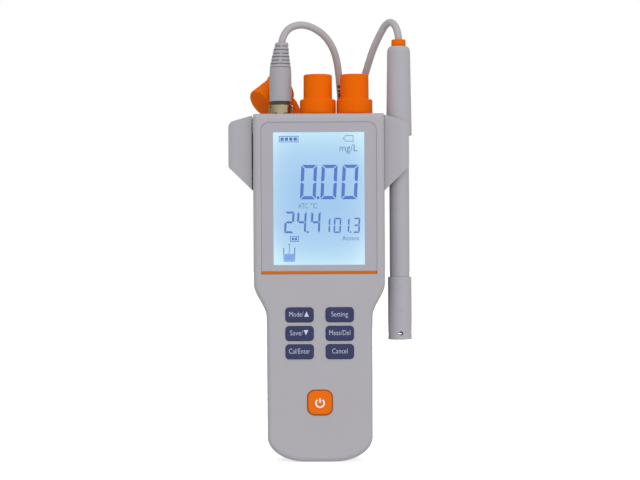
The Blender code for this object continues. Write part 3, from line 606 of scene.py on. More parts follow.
dashes = bmesh.new()
for high, low in ((232.5, 230.6), (229.6, 228.2), (227.5, 224.8), (224.0, 222.6)):
    rings = []
    for i in range(4):
        p, d = on_drop(high + (low - high) * i / 3)
        out = (Vector((0, -1, 0)) - d * d.dot(Vector((0, -1, 0)))).normalized()
        side = out.cross(d).normalized()
        side = side if side.x > 0 else -side
        angles = [math.radians(-40 + 10 * k) for k in range(11)]
        edge = [(a, CORD_D / 2 + 0.04) for a in angles] + [(a, CORD_D / 2 - 0.15) for a in reversed(angles)]
        rings.append([dashes.verts.new(p + (out * math.cos(a) + side * math.sin(a)) * (r * MM)) for a, r in edge])
    for near, far in zip(rings, rings[1:]):
        for k in range(len(near)):
            j = (k + 1) % len(near)
            dashes.faces.new((near[k], near[j], far[j], far[k]))
    dashes.faces.new(rings[0])
    dashes.faces.new(rings[-1])
bmesh.ops.recalc_face_normals(dashes, faces=dashes.faces)
dashes_obj = make("cord_jacket_marks", dashes, "jacket_print", "root", smooth=False)

# ------------------------------------------------------------------ case
CASE_H, HEAD_HALF, WAIST_HALF, GRIP_HALF = 212.0, 40.0, 32.3, 32.0
SHOULDER_TOP, SHOULDER_LOW, FOOT_RX, FOOT_RZ = 108.5, 88.0, 23.5, 15.0
HALF_DEPTH, SEAM, WALL, FRONT_WALL, RIM_R = 17.5, 0.8, 2.2, 2.7, 3.2
BEZEL_HALF, BEZEL_TOP, BEZEL_LOW, BEZEL_R = 35.1, 206.6, 116.6, 5.0
WINDOW_HALF, WINDOW_TOP, WINDOW_LOW = 27.75, 200.5, 119.8
STRIP_Z, STRIP_H, STRIP_HALF = 115.1, 1.7, 35.0
KEY_X, KEY_ROWS, KEY_W, KEY_H, KEY_R = 12.2, (89.5, 78.2, 67.1), 17.0, 8.9, 2.2
POWER_Z, POWER_W, POWER_R = 36.2, 15.5, 4.5


def case_outline(inset, fine=3):
    corner = max(0.5, 1.3 - 0.3 * inset)
    right = [((GRIP_HALF - FOOT_RX) * k / 3, inset) for k in range(0, 3)]
    right += arc(GRIP_HALF - FOOT_RX, FOOT_RZ, FOOT_RX - inset, FOOT_RZ - inset, -90, 0, 8 * fine)
    for i in range(8 * fine + 1):
        t = i / (8 * fine)
        e = t * t * (3 - 2 * t)
        right.append((WAIST_HALF + (HEAD_HALF - WAIST_HALF) * e - inset, SHOULDER_LOW + (SHOULDER_TOP - SHOULDER_LOW) * t))
    right += arc(HEAD_HALF - inset - corner, CASE_H - inset - corner, corner, corner, 0, 90, 5)
    left = [(-x, z) for x, z in reversed(right) if x > 1e-6]
    return right + left


def shell(side):
    rings = []
    for degrees in range(0, 91, 10):
        a = math.radians(degrees)
        rings.append((side * (HALF_DEPTH - RIM_R * (1 - math.cos(a))), case_outline(RIM_R * (1 - math.sin(a)))))
    rings.append((side * (SEAM + 0.25), case_outline(0.0)))
    rings.append((side * SEAM, case_outline(0.2)))
    return loft(rings)


def inside(side, wall):
    return loft([(side * (HALF_DEPTH - wall), case_outline(3.4)), (side * (HALF_DEPTH - wall - 1.2), case_outline(WALL)), (0.0, case_outline(WALL))])


def bezel_shape(grow, low):
    r = BEZEL_R + grow
    return (
        [(-BEZEL_HALF - grow, low), (BEZEL_HALF + grow, low)]
        + arc(BEZEL_HALF - BEZEL_R, BEZEL_TOP - BEZEL_R, r, r, 0, 90, 12)
        + arc(-BEZEL_HALF + BEZEL_R, BEZEL_TOP - BEZEL_R, r, r, 90, 180, 12)
    )


top_hole = block(((-36.3, 36.3), (-14.3, 14.3), (204.0, 216.0)))
front_cuts = [
    inside(-1, FRONT_WALL), top_hole,
    slab(bezel_shape(0.09, STRIP_Z - STRIP_H / 2 - 0.09), -20.0, -15.8),
    block(((-WINDOW_HALF - 0.2, WINDOW_HALF + 0.2), (-18.0, -13.0), (WINDOW_LOW - 0.2, WINDOW_TOP + 0.2))),
    slab(rounded(0, POWER_Z, POWER_W + 0.24, POWER_W + 0.24, POWER_R + 0.12), -20.0, -12.0),
]
for z in KEY_ROWS:
    for x in (-KEY_X, KEY_X):
        front_cuts.append(slab(rounded(x, z, KEY_W + 0.3, KEY_H + 0.3, KEY_R + 0.15), -20.0, -12.0))
front = boolean(shell(-1), front_cuts)
front_case = make("front_case_shell", front, "grey_abs", "root", angle=28)
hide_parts("front_shell")

DOOR_HALF, DOOR_LOW, DOOR_HIGH, DOOR_SCREW_Z = 25.5, 14.8, 83.2, 79.3
SCREWS = ((-34.0, 203.2), (34.0, 203.2), (-22.0, 9.9), (22.0, 9.9))
FEET = (("left_upper", -33.5, 186.0), ("right_upper", 33.5, 186.0), ("left_lower", -25.5, 93.0), ("right_lower", 25.5, 93.0))
rear_cuts = [
    inside(1, WALL), block(((-36.3, 36.3), (-14.3, 14.3), (204.0, 216.0))),
    slab(rounded(0, (DOOR_LOW + DOOR_HIGH) / 2, 2 * DOOR_HALF + 0.7, DOOR_HIGH - DOOR_LOW + 0.7, 3.3), 12.0, 20.0),
    rods("Y", [(x, 15.5, z, 2.9, 6.0) for x, z in SCREWS]),
    rods("Y", [(x, 18.3, z, 4.0, 3.0) for _, x, z in FEET], 40),
    block(((-42.0, -36.0), (1.2, 5.3), (178.7, 201.3)), ((36.0, 42.0), (1.2, 5.3), (178.7, 201.3))),
    # a shallow pocket for a plain rating plate
    slab(rounded(0, 100.5, 40.0, 14.0, 2.0), 17.2, 20.0),
]
posts = rods("Y", [(x, 7.0, z, 3.6, 14.0) for x, z in SCREWS[2:]] + [(x, 7.0, z, 3.6, 14.0) for x, z in SCREWS[:2]], 24)
rear_bm = boolean(shell(1), [rear_cuts[0]])
rear_bm = boolean(rear_bm, [rods("Y", [(x, 8.7, z, 3.6, 15.0) for x, z in SCREWS], 24)], "UNION")
posts.free()
rear_bm = boolean(rear_bm, rear_cuts[1:] + [rods("Y", [(x, 6.0, z, 1.6, 16.0) for x, z in SCREWS], 20)])
rear_case = make("rear_case_shell", rear_bm, "grey_abs", "root", angle=28)
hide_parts("rear_shell")

# Connector panel with its rounded lip and plain round openings.
panel = joined(bevelled(block(((-36.0, 36.0), (-14.0, 14.0), (208.6, 211.8))), 0.5, 3))
SOCKETS = (-23.4, -0.4, 22.2)
panel = boolean(panel, [rods("Z", [(SOCKETS[0], 0, 210, 4.95, 12), (SOCKETS[1], 0, 210, 6.75, 12), (SOCKETS[2], 0, 210, 6.75, 12)], 64)])
panel_obj = make("top_connector_panel", panel, "grey_abs", "root", angle=30)
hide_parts("connector_panel")

# ------------------------------------------------------------------ display
bezel = boolean(slab(bezel_shape(0.0, STRIP_Z + STRIP_H / 2 + 0.04), -17.25, -16.1), [block(((-WINDOW_HALF, WINDOW_HALF), (-20.0, -14.0), (WINDOW_LOW, WINDOW_TOP)))])
bezel_obj = make("display_bezel_plate", bevelled(bezel, 0.14, 2), "bezel_grey", "root", angle=40)
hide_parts("display_bezel")
strip = bevelled(block(((-STRIP_HALF, STRIP_HALF), (-17.35, -16.1), (STRIP_Z - STRIP_H / 2, STRIP_Z + STRIP_H / 2))), 0.2, 3)
strip_obj = make("orange_accent_strip", strip, "accent_orange", "root")
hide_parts("accent_strip")
lens = bevelled(block(((-WINDOW_HALF + 0.06, WINDOW_HALF - 0.06), (-17.2, -16.7), (WINDOW_LOW + 0.06, WINDOW_TOP - 0.06))), 0.08, 2)
lens_obj = make("display_window", lens, "clear_plastic", "root")
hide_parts("display_lens")
LCD_Y = -16.35
lcd = joined(
    block(((-29.0, 29.0), (-14.4, -12.6), (116.8, 203.4))),
    bevelled(block(((-WINDOW_HALF + 0.05, WINDOW_HALF - 0.05), (LCD_Y, -14.6), (WINDOW_LOW + 0.05, WINDOW_TOP - 0.05))), 0.05, 1),
)
lcd_obj = make("lcd_panel", lcd, "lcd", "root", smooth=False)
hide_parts("lcd_glass")

INK_Y0, INK_Y1 = LCD_Y - 0.05, LCD_Y - 0.01


def flat(polygons):
    """Thin raised marks on the glass; each polygon is a list of (x, z)."""
    bm = bmesh.new()
    for polygon in polygons:
        rows = [[bm.verts.new(place(x, y, z)) for x, z in polygon] for y in (INK_Y0, INK_Y1)]
        bm.faces.new(rows[0])
        bm.faces.new(rows[1])
        for i in range(len(polygon)):
            j = (i + 1) % len(polygon)
            bm.faces.new((rows[0][i], rows[0][j], rows[1][j], rows[1][i]))
    bmesh.ops.recalc_face_normals(bm, faces=bm.faces)
    return bm


SEGMENTS = {"0": "abcdef", "1": "bc", "2": "abged", "3": "abgcd", "4": "fgbc"}


def digit(char, x0, x1, z0, z1, t, lean=0.05, gap=0.22):
    """The lit bars of a seven-bar digit, mitred where they meet."""
    zm = (z0 + z1) / 2
    h = t / 2
    shapes = {
        "a": [(x0 + gap, z1), (x1 - gap, z1), (x1 - t - gap, z1 - t), (x0 + t + gap, z1 - t)],
        "d": [(x0 + gap, z0), (x0 + t + gap, z0 + t), (x1 - t - gap, z0 + t), (x1 - gap, z0)],
        "f": [(x0, z1 - gap), (x0 + t, z1 - t - gap), (x0 + t, zm + h + gap * 0.5), (x0 + h, zm + gap), (x0, zm + gap)],
        "b": [(x1, z1 - gap), (x1, zm + gap), (x1 - h, zm + gap), (x1 - t, zm + h + gap * 0.5), (x1 - t, z1 - t - gap)],
        "e": [(x0, z0 + gap), (x0, zm - gap), (x0 + h, zm - gap), (x0 + t, zm - h - gap * 0.5), (x0 + t, z0 + t + gap)],
        "c": [(x1, z0 + gap), (x1 - t, z0 + t + gap), (x1 - t, zm - h - gap * 0.5), (x1 - h, zm - gap), (x1, zm - gap)],
        "g": [(x0 + h + gap, zm), (x0 + t + gap, zm + h), (x1 - t - gap, zm + h), (x1 - h - gap, zm), (x1 - t - gap, zm - h), (x0 + t + gap, zm - h)],
    }
    return [[(x + (z - z0) * lean, z) for x, z in shapes[s]] for s in SEGMENTS[char]]


def disc(cx, cz, r, n=20):
    return [(cx + r * math.cos(2 * math.pi * k / n), cz + r * math.sin(2 * math.pi * k / n)) for k in range(n)]


def bar(x0, x1, z0, z1):
    return [(x0, z0), (x1, z0), (x1, z1), (x0, z1)]


big = digit("0", -11.6, -2.0, 159.6, 180.6, 2.0, gap=0.42) + digit("0", 0.8, 10.4, 159.6, 180.6, 2.0, gap=0.42) + digit("0", 13.5, 23.1, 159.6, 180.6, 2.0, gap=0.42) + [disc(-0.6, 160.6, 0.95)]
big_obj = make("main_reading", flat(big), "segment_dark", "root", smooth=False)
small = (
    digit("2", -21.3, -15.5, 139.1, 152.3, 1.25) + digit("4", -13.7, -8.1, 139.1, 152.3, 1.25) + [disc(-6.9, 139.8, 0.65)] + digit("4", -5.3, 0.4, 139.1, 152.3, 1.25)
    + digit("1", 3.0, 6.5, 139.1, 148.4, 0.95) + digit("0", 8.7, 13.1, 139.1, 148.4, 0.95) + digit("1", 14.6, 18.2, 139.1, 148.4, 0.95) + [disc(19.2, 139.6, 0.5)] + digit("3", 20.4, 24.6, 139.1, 148.4, 0.95)
)
small_obj = make("side_readings", flat(small), "segment_mid", "root", smooth=False)

# Status marks: the signal bar, the battery outline, the small flag and the beaker.
marks = [bar(-24.1, -12.3, 197.8, 198.2), bar(-24.1, -12.3, 194.4, 194.8), bar(-24.1, -23.7, 194.8, 197.8), bar(-12.7, -12.3, 194.8, 197.8)]
marks += [bar(-23.2 + 2.65 * k, -21.2 + 2.65 * k, 195.3, 197.3) for k in range(4)]
marks += [bar(-17.6, -12.4, 136.9, 137.3), bar(-17.6, -12.4, 133.9, 134.3), bar(-17.6, -17.2, 134.3, 136.9), bar(-12.8, -12.4, 134.3, 136.9), bar(-16.6, -15.2, 134.8, 136.4), bar(-14.8, -13.4, 134.8, 136.4)]
marks_obj = make("status_marks", flat(marks), "segment_mid", "root", smooth=False)
faint = [bar(15.9, 21.1, 198.1, 198.45), bar(15.9, 21.1, 194.7, 195.05), bar(20.75, 21.1, 195.05, 198.1), bar(15.9, 16.25, 195.05, 195.9), bar(15.9, 16.25, 197.2, 198.1), bar(14.9, 15.9, 195.9, 196.2), bar(14.9, 15.9, 196.9, 197.2), bar(14.9, 15.2, 196.2, 196.9)]
faint += [[(-21.9, 130.6), (-21.2, 130.0), (-21.2, 122.4), (-21.6, 122.0)], [(-14.5, 130.6), (-14.8, 122.0), (-15.2, 122.4), (-15.2, 130.0)], bar(-21.4, -15.0, 121.9, 122.4), bar(-18.4, -18.0, 127.0, 132.6), bar(-18.9, -17.5, 132.0, 132.4)]
faint_obj = make("outline_marks", flat(faint), "segment_faint", "root", smooth=False)
fill_obj = make("beaker_fill", flat([[(-21.0, 122.6), (-15.4, 122.6), (-15.4, 126.9), (-17.2, 126.3), (-18.6, 126.9), (-21.0, 126.3)]]), "segment_fill", "root", smooth=False)


def lettering(name, lines, mat, body, y_face, depth=0.04, thin=0.0):
    """Flat raised lettering; each line is (text, centre x, base z, cap height, width or None)."""
    out = bmesh.new()
    for text, cx, z, height, width in lines:
        curve = bpy.data.curves.new("t", "FONT")
        curve.body = text
        curve.size = height / 0.70 * MM
        curve.align_x = "CENTER"
        curve.resolution_u = 3
        curve.offset = thin * MM
        curve.extrude = depth / 2 * MM
        obj = bpy.data.objects.new("t", curve)
        collection.objects.link(obj)
        bpy.context.view_layer.update()
        mesh = bpy.data.meshes.new_from_object(obj.evaluated_get(bpy.context.evaluated_depsgraph_get()))
        bpy.data.objects.remove(obj, do_unlink=True)
        xs = [v.co.x for v in mesh.vertices]
        squeeze = 1.0 if width is None else width * MM / (max(xs) - min(xs))
        mid = (max(xs) + min(xs)) / 2
        mesh.transform(Matrix.Translation(place(cx, y_face, z)) @ Matrix.Rotation(math.pi / 2, 4, "X") @ Matrix.Diagonal((squeeze, 1, 1, 1)) @ Matrix.Translation((-mid, 0, 0)))
        out.from_mesh(mesh)
        bpy.data.meshes.remove(mesh)
    bmesh.ops.remove_doubles(out, verts=out.verts, dist=1e-7)
    return make(name, out, mat, body, smooth=False)


lettering("screen_units", [("mg/L", 18.1, 188.7, 4.4, 10.9), ("ATC", -9.6, 154.1, 3.2, 5.9), ("C", -2.4, 154.1, 3.2, 2.3), ("Atmos", 19.1, 134.6, 2.8, 10.3)], "segment_faint", "root", LCD_Y - 0.03)
ring = bmesh.new()
for r0, r1 in ((0.28, 0.55),):
    rows = []
    for radius in (r0, r1):
        rows.append([[ring.verts.new(place(-4.6 + radius * math.cos(2 * math.pi * k / 20), y, 156.8 + radius * math.sin(2 * math.pi * k / 20))) for k in range(20)] for y in (INK_Y0, INK_Y1)])
    (ia, ib), (oa, ob) = rows
    for k in range(20):
        j = (k + 1) % 20
        for quad in ((ia[k], ia[j], oa[j], oa[k]), (ib[k], ib[j], ob[j], ob[k]), (oa[k], oa[j], ob[j], ob[k]), (ia[k], ia[j], ib[j], ib[k])):
            ring.faces.new(quad)
make("degree_mark", ring, "segment_faint", "root", smooth=False)

# ------------------------------------------------------------------ keys
KEY_FACE = -18.3


def key_pad(name, node, body, x, z, width, height, radius, mat, dish=0.10):
    rings = []
    for depth, inset in ((0.0, 0.9), (0.02, 0.62), (0.08, 0.36), (0.2, 0.14), (0.38, 0.03), (0.6, 0.0)):
        r = max(0.4, radius - inset)
        rings.append((KEY_FACE + depth, rounded(x, z, width - 2 * inset, height - 2 * inset, r, 8)))
    rings.append((-14.5, rounded(x, z, width, height, radius, 8)))
    rings.append((-14.45, rounded(x, z, width + 1.6, height + 1.6, radius + 0.8, 8)))
    rings.append((-13.7, rounded(x, z, width + 1.6, height + 1.6, radius + 0.8, 8)))
    inner = [(x + (a - x) * 0.55, z + (b - z) * 0.55) for a, b in rings[0][1]]
    rings.insert(0, (KEY_FACE + dish, inner))
    obj = make(name, loft(rings), mat, body, angle=50)
    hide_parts(node)
    return obj


KEYS = (
    ("mode_key_pad", "key_mode", "mode_key", -KEY_X, 89.5, "Mode/", "up", 8.6), ("setting_key_pad", "key_setting", "setting_key", KEY_X, 89.5, "Setting", None, 10.0),
    ("save_key_pad", "key_save", "save_key", -KEY_X, 78.2, "Save/", "down", 7.7), ("measure_key_pad", "key_measure", "measure_key", KEY_X, 78.2, "Meas/Del", None, 12.7),
    ("calibrate_key_pad", "key_calibrate", "calibrate_key", -KEY_X, 67.1, "Cal/Enter", None, 12.9), ("cancel_key_pad", "key_cancel", "cancel_key", KEY_X, 67.1, "Cancel", None, 9.3),
)
for name, node, body, x, z, text, arrow, width in KEYS:
    key_pad(name, node, body, x, z, KEY_W, KEY_H, KEY_R, "navy_rubber", 0.0)
    shift = -1.9 if arrow else 0.0
    lettering(name.replace("pad", "legend"), [(text, x + shift, z - 1.05, 3.1, width)], "key_ink", body, KEY_FACE - 0.02, 0.05, -0.055)
    if arrow:
        cx = x + (4.3 if arrow == "up" else 3.9)
        up = arrow == "up"
        shape = [(cx - 1.4, z - 1.05), (cx + 1.4, z - 1.05), (cx, z + 2.1)] if up else [(cx - 1.4, z + 2.1), (cx, z - 1.05), (cx + 1.4, z + 2.1)]
        tri = slab(shape, KEY_FACE - 0.045, KEY_FACE + 0.005)
        make(name.replace("pad", "arrow"), tri, "key_ink", body, smooth=False)

power = key_pad("power_key_pad", "key_power", "power_key", 0.0, POWER_Z, POWER_W - 1.1, POWER_W - 1.1, POWER_R - 0.5, "orange_plastic", 0.0)
# The power key's rim, coloured darker orange as painted shade round the key's edge.
rim = boolean(
    loft([(-17.95, rounded(0, POWER_Z, POWER_W - 0.3, POWER_W - 0.3, POWER_R - 0.15, 10)), (-17.8, rounded(0, POWER_Z, POWER_W, POWER_W, POWER_R, 10)), (-14.6, rounded(0, POWER_Z, POWER_W, POWER_W, POWER_R, 10))]),
    [slab(rounded(0, POWER_Z, POWER_W - 1.0, POWER_W - 1.0, POWER_R - 0.45, 10), -20, -12)],
)
make("power_key_rim", rim, "orange_rim_painted_shade", "power_key", angle=40)
symbol = bmesh.new()
rows = []
cz = POWER_Z - 0.25
for radius in (2.05, 2.95):
    rows.append([[symbol.verts.new(place(radius * math.sin(a), y, cz + radius * math.cos(a))) for a in [math.radians(38 + (322 - 38) * k / 36) for k in range(37)]] for y in (KEY_FACE - 0.045, KEY_FACE + 0.005)])
(ia, ib), (oa, ob) = rows
for k in range(36):
    for quad in ((ia[k], ia[k + 1], oa[k + 1], oa[k]), (ib[k], ib[k + 1], ob[k + 1], ob[k]), (oa[k], oa[k + 1], ob[k + 1], ob[k]), (ia[k], ia[k + 1], ib[k + 1], ib[k])):
        symbol.faces.new(quad)
for k in (0, 36):
    symbol.faces.new((ia[k], oa[k], ob[k], ib[k]))
symbol = joined(symbol, slab(rounded(0, cz + 1.6, 0.95, 2.9, 0.45, 4), KEY_FACE - 0.045, KEY_FACE + 0.005))
make("power_key_symbol", symbol, "legend_white", "power_key", smooth=False)

# ------------------------------------------------------------------ side holders
HOLDER_IN, HOLDER_OUT, HOLDER_AXIS = 40.3, 55.4, 49.6
HOLDER_BORE_R, HOLDER_SEAT_R, HOLDER_SEAT_Z, HOLDER_WALL_R, HOLDER_MOUTH = 6.45, 8.3, 199.0, 9.8, 4.2


def holder(side, name, node, inner):
    slope = (165.1 + (inner - HOLDER_IN), 211.4 - (inner - HOLDER_IN) * 0.25)
    outline = (
        [(inner, slope[0]), (HOLDER_OUT - 1.3, 178.5)] + arc(HOLDER_OUT - 3.2, 180.9, 3.2, 3.2, -40, 0, 4)
        + arc(HOLDER_OUT - 4.2, 204.0, 4.2, 4.2, 0, 72, 8) + [(inner, slope[1])]
    )
    body = slab([(side * x, z) for x, z in outline], -HOLDER_WALL_R - 0.5, HOLDER_WALL_R + 0.5)
    section = [(side * (HOLDER_IN - 1), -HOLDER_WALL_R)] + [(side * x, y) for x, y in arc(HOLDER_AXIS, 0, HOLDER_WALL_R, HOLDER_WALL_R, -90, 90, 40)] + [(side * (HOLDER_IN - 1), HOLDER_WALL_R)]
    body = boolean(body, [slab(section, 150.0, 225.0, "Z")], "INTERSECT")
    body = boolean(body, [
        rods("Z", [(side * HOLDER_AXIS, 0, 190, HOLDER_BORE_R, 80)], 64), rods("Z", [(side * HOLDER_AXIS, 0, HOLDER_SEAT_Z + 15, HOLDER_SEAT_R, 30)], 64),
        block((tuple(sorted((side * HOLDER_AXIS, side * 62.0))), (-HOLDER_MOUTH, HOLDER_MOUTH), (150.0, 225.0))),
    ])
    body = bevelled(body, 0.45, 3, 34)
    body = joined(body, block((tuple(sorted((side * 36.6, side * 42.0))), (1.6, 4.9), (179.1, 200.9))))
    obj = make(name, body, "grey_abs", "root", angle=36)
    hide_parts(node)
    return obj


holder(-1, "left_probe_clip", "probe_holder_left", 41.0)
holder(1, "right_probe_clip", "probe_holder_right", 40.3)

# ------------------------------------------------------------------ sockets, caps and plug
cap_profile = softened([
    (0, 236.8), (8.8, 236.8), (8.8, 221.3), (11.1, 221.3), (11.1, 212.3), (6.8, 212.3), (6.8, 232.5), (0, 232.5),
], 0.55, steps=4)
cap_profile = [(0, 236.8)] + softened([(0, 236.8), (8.75, 236.8), (8.85, 221.6), (11.1, 221.35), (11.15, 212.3), (6.8, 212.3), (6.8, 232.5), (0, 232.5)], 0.9, steps=5)[1:]
for x, name, node, body in ((SOCKETS[1], "middle_socket_cap", "cap_middle", "middle_cap"), (SOCKETS[2], "right_socket_cap", "cap_right", "right_cap")):
    obj = make(name, lathe(cap_profile, x, 0, 72), "orange_rubber", body, angle=50)
    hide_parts(node)
for x, name, node in ((SOCKETS[1], "middle_panel_socket", "socket_middle"), (SOCKETS[2], "right_panel_socket", "socket_right")):
    profile = softened([(0, 229.0), (4.8, 229.0), (4.8, 232.0), (6.4, 232.0), (6.4, 207.7), (9.0, 207.7), (9.0, 205.0), (0, 205.0)], 0.25)
    bm = joined(lathe(profile, x, 0, 48), *[rods("Z", [(x + 2.6 * math.cos(a), 2.6 * math.sin(a), 229.9, 0.45, 2.2)], 12) for a in [math.pi * 2 * k / 5 + 0.3 for k in range(5)]])
    obj = make(name, bm, "black_plastic", "root", angle=40)
    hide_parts(node)

CAP_DIR = Vector((0.658, 0.5, 0.563)).normalized()
CAP_END = Vector((-36.1, 11.4, 220.1))
tilt = Matrix.Translation(place(*CAP_END)) @ Vector((0, 0, 1)).rotation_difference(CAP_DIR).to_matrix().to_4x4()
open_profile = softened([(0, 2.6), (6.8, 2.6), (6.8, 20.0), (10.5, 20.0), (10.5, 16.9), (9.45, 16.7), (9.4, 0.0), (0, 0)], 0.9, steps=5)
open_cap = lathe(open_profile, 0, 0, 72, matrix=tilt)
open_obj = make("open_socket_cap", open_cap, "orange_rubber", "open_cap", angle=50)
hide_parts("cap_left")
FOOT = Vector((-13.8, 11.6, 212.2))
side_down = Vector((0.65, 0.0, -0.76))
side_down = (side_down - CAP_DIR * CAP_DIR.dot(side_down)).normalized()
strap_end = CAP_END + CAP_DIR * 18.4 + side_down * (10.5 - 0.6)
strap_route = [FOOT, FOOT + Vector((0, 0, 1.3)), FOOT + Vector((-0.1, 1.6, 2.8)), FOOT + Vector((-0.6, 5.0, 5.2)), strap_end + side_down * 2.6, strap_end]
strap = tube_mesh(smooth_route([place(*p) for p in strap_route], 0.0006), 1.3 * MM, 24, flatten=((1, 0, 0), (2.0, 0.7)))
strap = joined(strap, lathe(softened([(0, 213.2), (3.0, 213.2), (3.2, 212.25), (0, 212.25)], 0.4), FOOT.x, FOOT.y, 32))
strap_obj = make("open_cap_strap", strap, "orange_rubber", "open_cap", angle=50)
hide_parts("cap_left_strap")

x_plug = SOCKETS[0]


nut = lathe(softened([(4.95, 218.2), (7.1, 218.2), (7.4, 217.3), (7.4, 213.2), (7.1, 212.5), (4.95, 212.5)], 0.3, closed=True), x_plug, 0, 96, closed=True)
flutes = []
for k in range(7):
    turn_by = Matrix.Translation(place(x_plug, 0, 0)) @ Matrix.Rotation(2 * math.pi * k / 7, 4, "Z") @ Matrix.Translation(-place(x_plug, 0, 0))
    flute = slab([(x_plug - 1.95, 211.0), (x_plug + 1.95, 211.0)] + arc(x_plug, 215.6, 1.95, 1.95, 0, 180, 16), -9.0, -6.75)
    bmesh.ops.transform(flute, matrix=turn_by, verts=flute.verts)
    flutes.append(flute)
nut = boolean(nut, flutes)
nut_obj = make("plug_locking_nut", bevelled(nut, 0.18, 2, 34), "nickel", "plug_lock", angle=35)
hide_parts("plug_nut")
socket_profile = softened([(0, 213.4), (3.3, 213.4), (3.3, 222.3), (4.6, 222.3), (4.6, 207.7), (8.0, 207.7), (8.0, 205.0), (0, 205.0)], 0.2)
socket_obj = make("plug_panel_socket", lathe(socket_profile, x_plug, 0, 48), "nickel", "root", angle=40)
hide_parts("plug_socket")
body_profile = [(0, 241.4)] + softened([(0, 241.4), (6.5, 241.4), (6.75, 238.0), (6.95, 220.3), (5.3, 220.3), (5.3, 222.6), (0, 222.6)], 0.5, steps=4)[1:]
plug_obj = make("plug_overmould", lathe(body_profile, x_plug, 0, 72), "plug_grey", "root", angle=45)
# A recessed ring between nut and overmould, coloured near black as painted shade for that groove.
groove_shade_obj = make("plug_groove_shade_ring", lathe(softened([(4.9, 220.6), (5.9, 220.6), (5.9, 218.3), (4.9, 218.3)], 0.2, closed=True), x_plug, 0, 48, closed=True), "groove_painted_shade", "root", angle=40)
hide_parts("plug_body")


SLOTS = (254.4, 252.2, 249.9, 247.8, 245.6, 243.5)


def slotted(r, h, a):
    """The boot's slots, cut by turns from its front and back and from its sides."""
    if r < 3.2:
        return r
    for k, z in enumerate(SLOTS):
        if abs(h - z) <= 0.34:
            bridge = abs(math.sin(a)) if k % 2 == 0 else abs(math.cos(a))
            return r - 1.0 * (1 - ease((bridge - 0.965) / 0.03))
    return r


def boot_radius(z):
    return 4.1 + (255.6 - z) * (6.5 - 4.1) / 13.9


boot_profile = [(0, 256.9), (2.9, 256.9), (3.6, 256.8), (3.95, 256.5), (4.1, 255.9)]
for z in SLOTS:
    boot_profile += [(boot_radius(z), z + h) for h in (0.8, 0.52, 0.42, 0.34, 0.28, -0.28, -0.34, -0.42, -0.52, -0.8)]
boot_profile += [(6.45, 242.0), (6.5, 241.6), (0, 241.6)]
boot = lathe(boot_profile, x_plug, 0, 120, wobble=slotted)
for v in boot.verts:
    rise = max(0.0, (v.co.z / MM + GRIP_Z - 243.0) / 13.9)
    v.co.x += 0.95 * MM * rise ** 1.6
boot_obj = make("plug_boot_ribbed", boot, "plug_grey", "root", angle=38)
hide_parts("plug_boot")

# ------------------------------------------------------------------ probe
collar = make("probe_cord_collar", lathe(softened([(2.35, 258.3), (4.35, 258.3), (4.5, 254.6), (2.35, 254.6)], 0.45, closed=True, steps=4), PROBE_X, 0, 64, closed=True), "orange_rubber", "probe", angle=50)
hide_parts("cord_collar")
handle_profile = [(0, 254.5), (3.6, 254.5), (4.9, 254.3), (5.9, 253.7), (6.6, 252.8), (7.0, 251.5), (7.1, 250.2), (7.25, 240), (7.45, 228), (7.65, 215), (7.85, 201.0), (7.9, 199.7), (7.7, 199.3), (6.4, 199.3), (6.4, 212.9), (0, 212.9)]
handle = make("probe_grip", lathe(handle_profile, PROBE_X, 0, 80), "grey_abs", "probe", angle=45)
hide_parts("probe_handle")
shaft = make("probe_tube", lathe(softened([(4.6, 212.6), (6.1, 212.6), (6.1, 86.0), (4.6, 86.0)], 0.3, closed=True), PROBE_X, 0, 72, closed=True), "grey_abs", "probe", angle=40)
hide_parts("probe_shaft")
guard_profile = softened([(6.5, 112.0), (7.3, 112.0), (7.35, 73.3), (4.6, 73.3), (4.6, 74.6), (6.5, 75.9)], 0.4, closed=True)
guard = boolean(lathe(guard_profile, PROBE_X, 0, 80, closed=True), [
    rods("Y", [(PROBE_X + 0.4, 0, 77.4, 1.3, 30.0)], 24), rods("X", [(PROBE_X, 0, 77.4, 1.3, 30.0)], 24),
    *[slab([(PROBE_X + 0.6 + a, zz + b) for a, b in ((-1.3, -0.55), (1.1, 0.45), (1.2, 0.15), (-1.2, -0.85))], -9.0, -7.05) for zz in (105.6, 91.2)],
])
guard_obj = make("sensor_guard_sleeve", guard, "grey_abs", "guard", angle=36)
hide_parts("sensor_guard")
tip_profile = softened([(0, 84.3), (5.9, 84.3), (5.9, 78.4), (5.2, 77.3), (3.6, 77.3), (3.4, 77.6), (0, 77.6)], 0.35)
tip = make("sensor_membrane_cap", lathe(tip_profile, PROBE_X, 0, 64), "tip_grey", "membrane", angle=40)
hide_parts("membrane_cap")

# ------------------------------------------------------------------ back: door, screws, feet, plate, tie
door_outline = rounded(0, (DOOR_LOW + DOOR_HIGH) / 2, 2 * DOOR_HALF, DOOR_HIGH - DOOR_LOW, 3.0)
door = boolean(slab(door_outline, 15.4, 17.4), [
    rods("Y", [(0, 16.0, DOOR_SCREW_Z, 1.6, 6.0)], 24), rods("Y", [(0, 18.0, DOOR_SCREW_Z, 3.0, 2.2)], 40),
    *[slab(rounded(0, 24.0 + 3.0 * k, 22.0, 1.3, 0.6, 4), 16.9, 19.0) for k in range(5)],
])
door_obj = make("battery_compartment_door", bevelled(door, 0.25, 2, 40), "grey_abs", "door", angle=40)
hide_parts("battery_door")


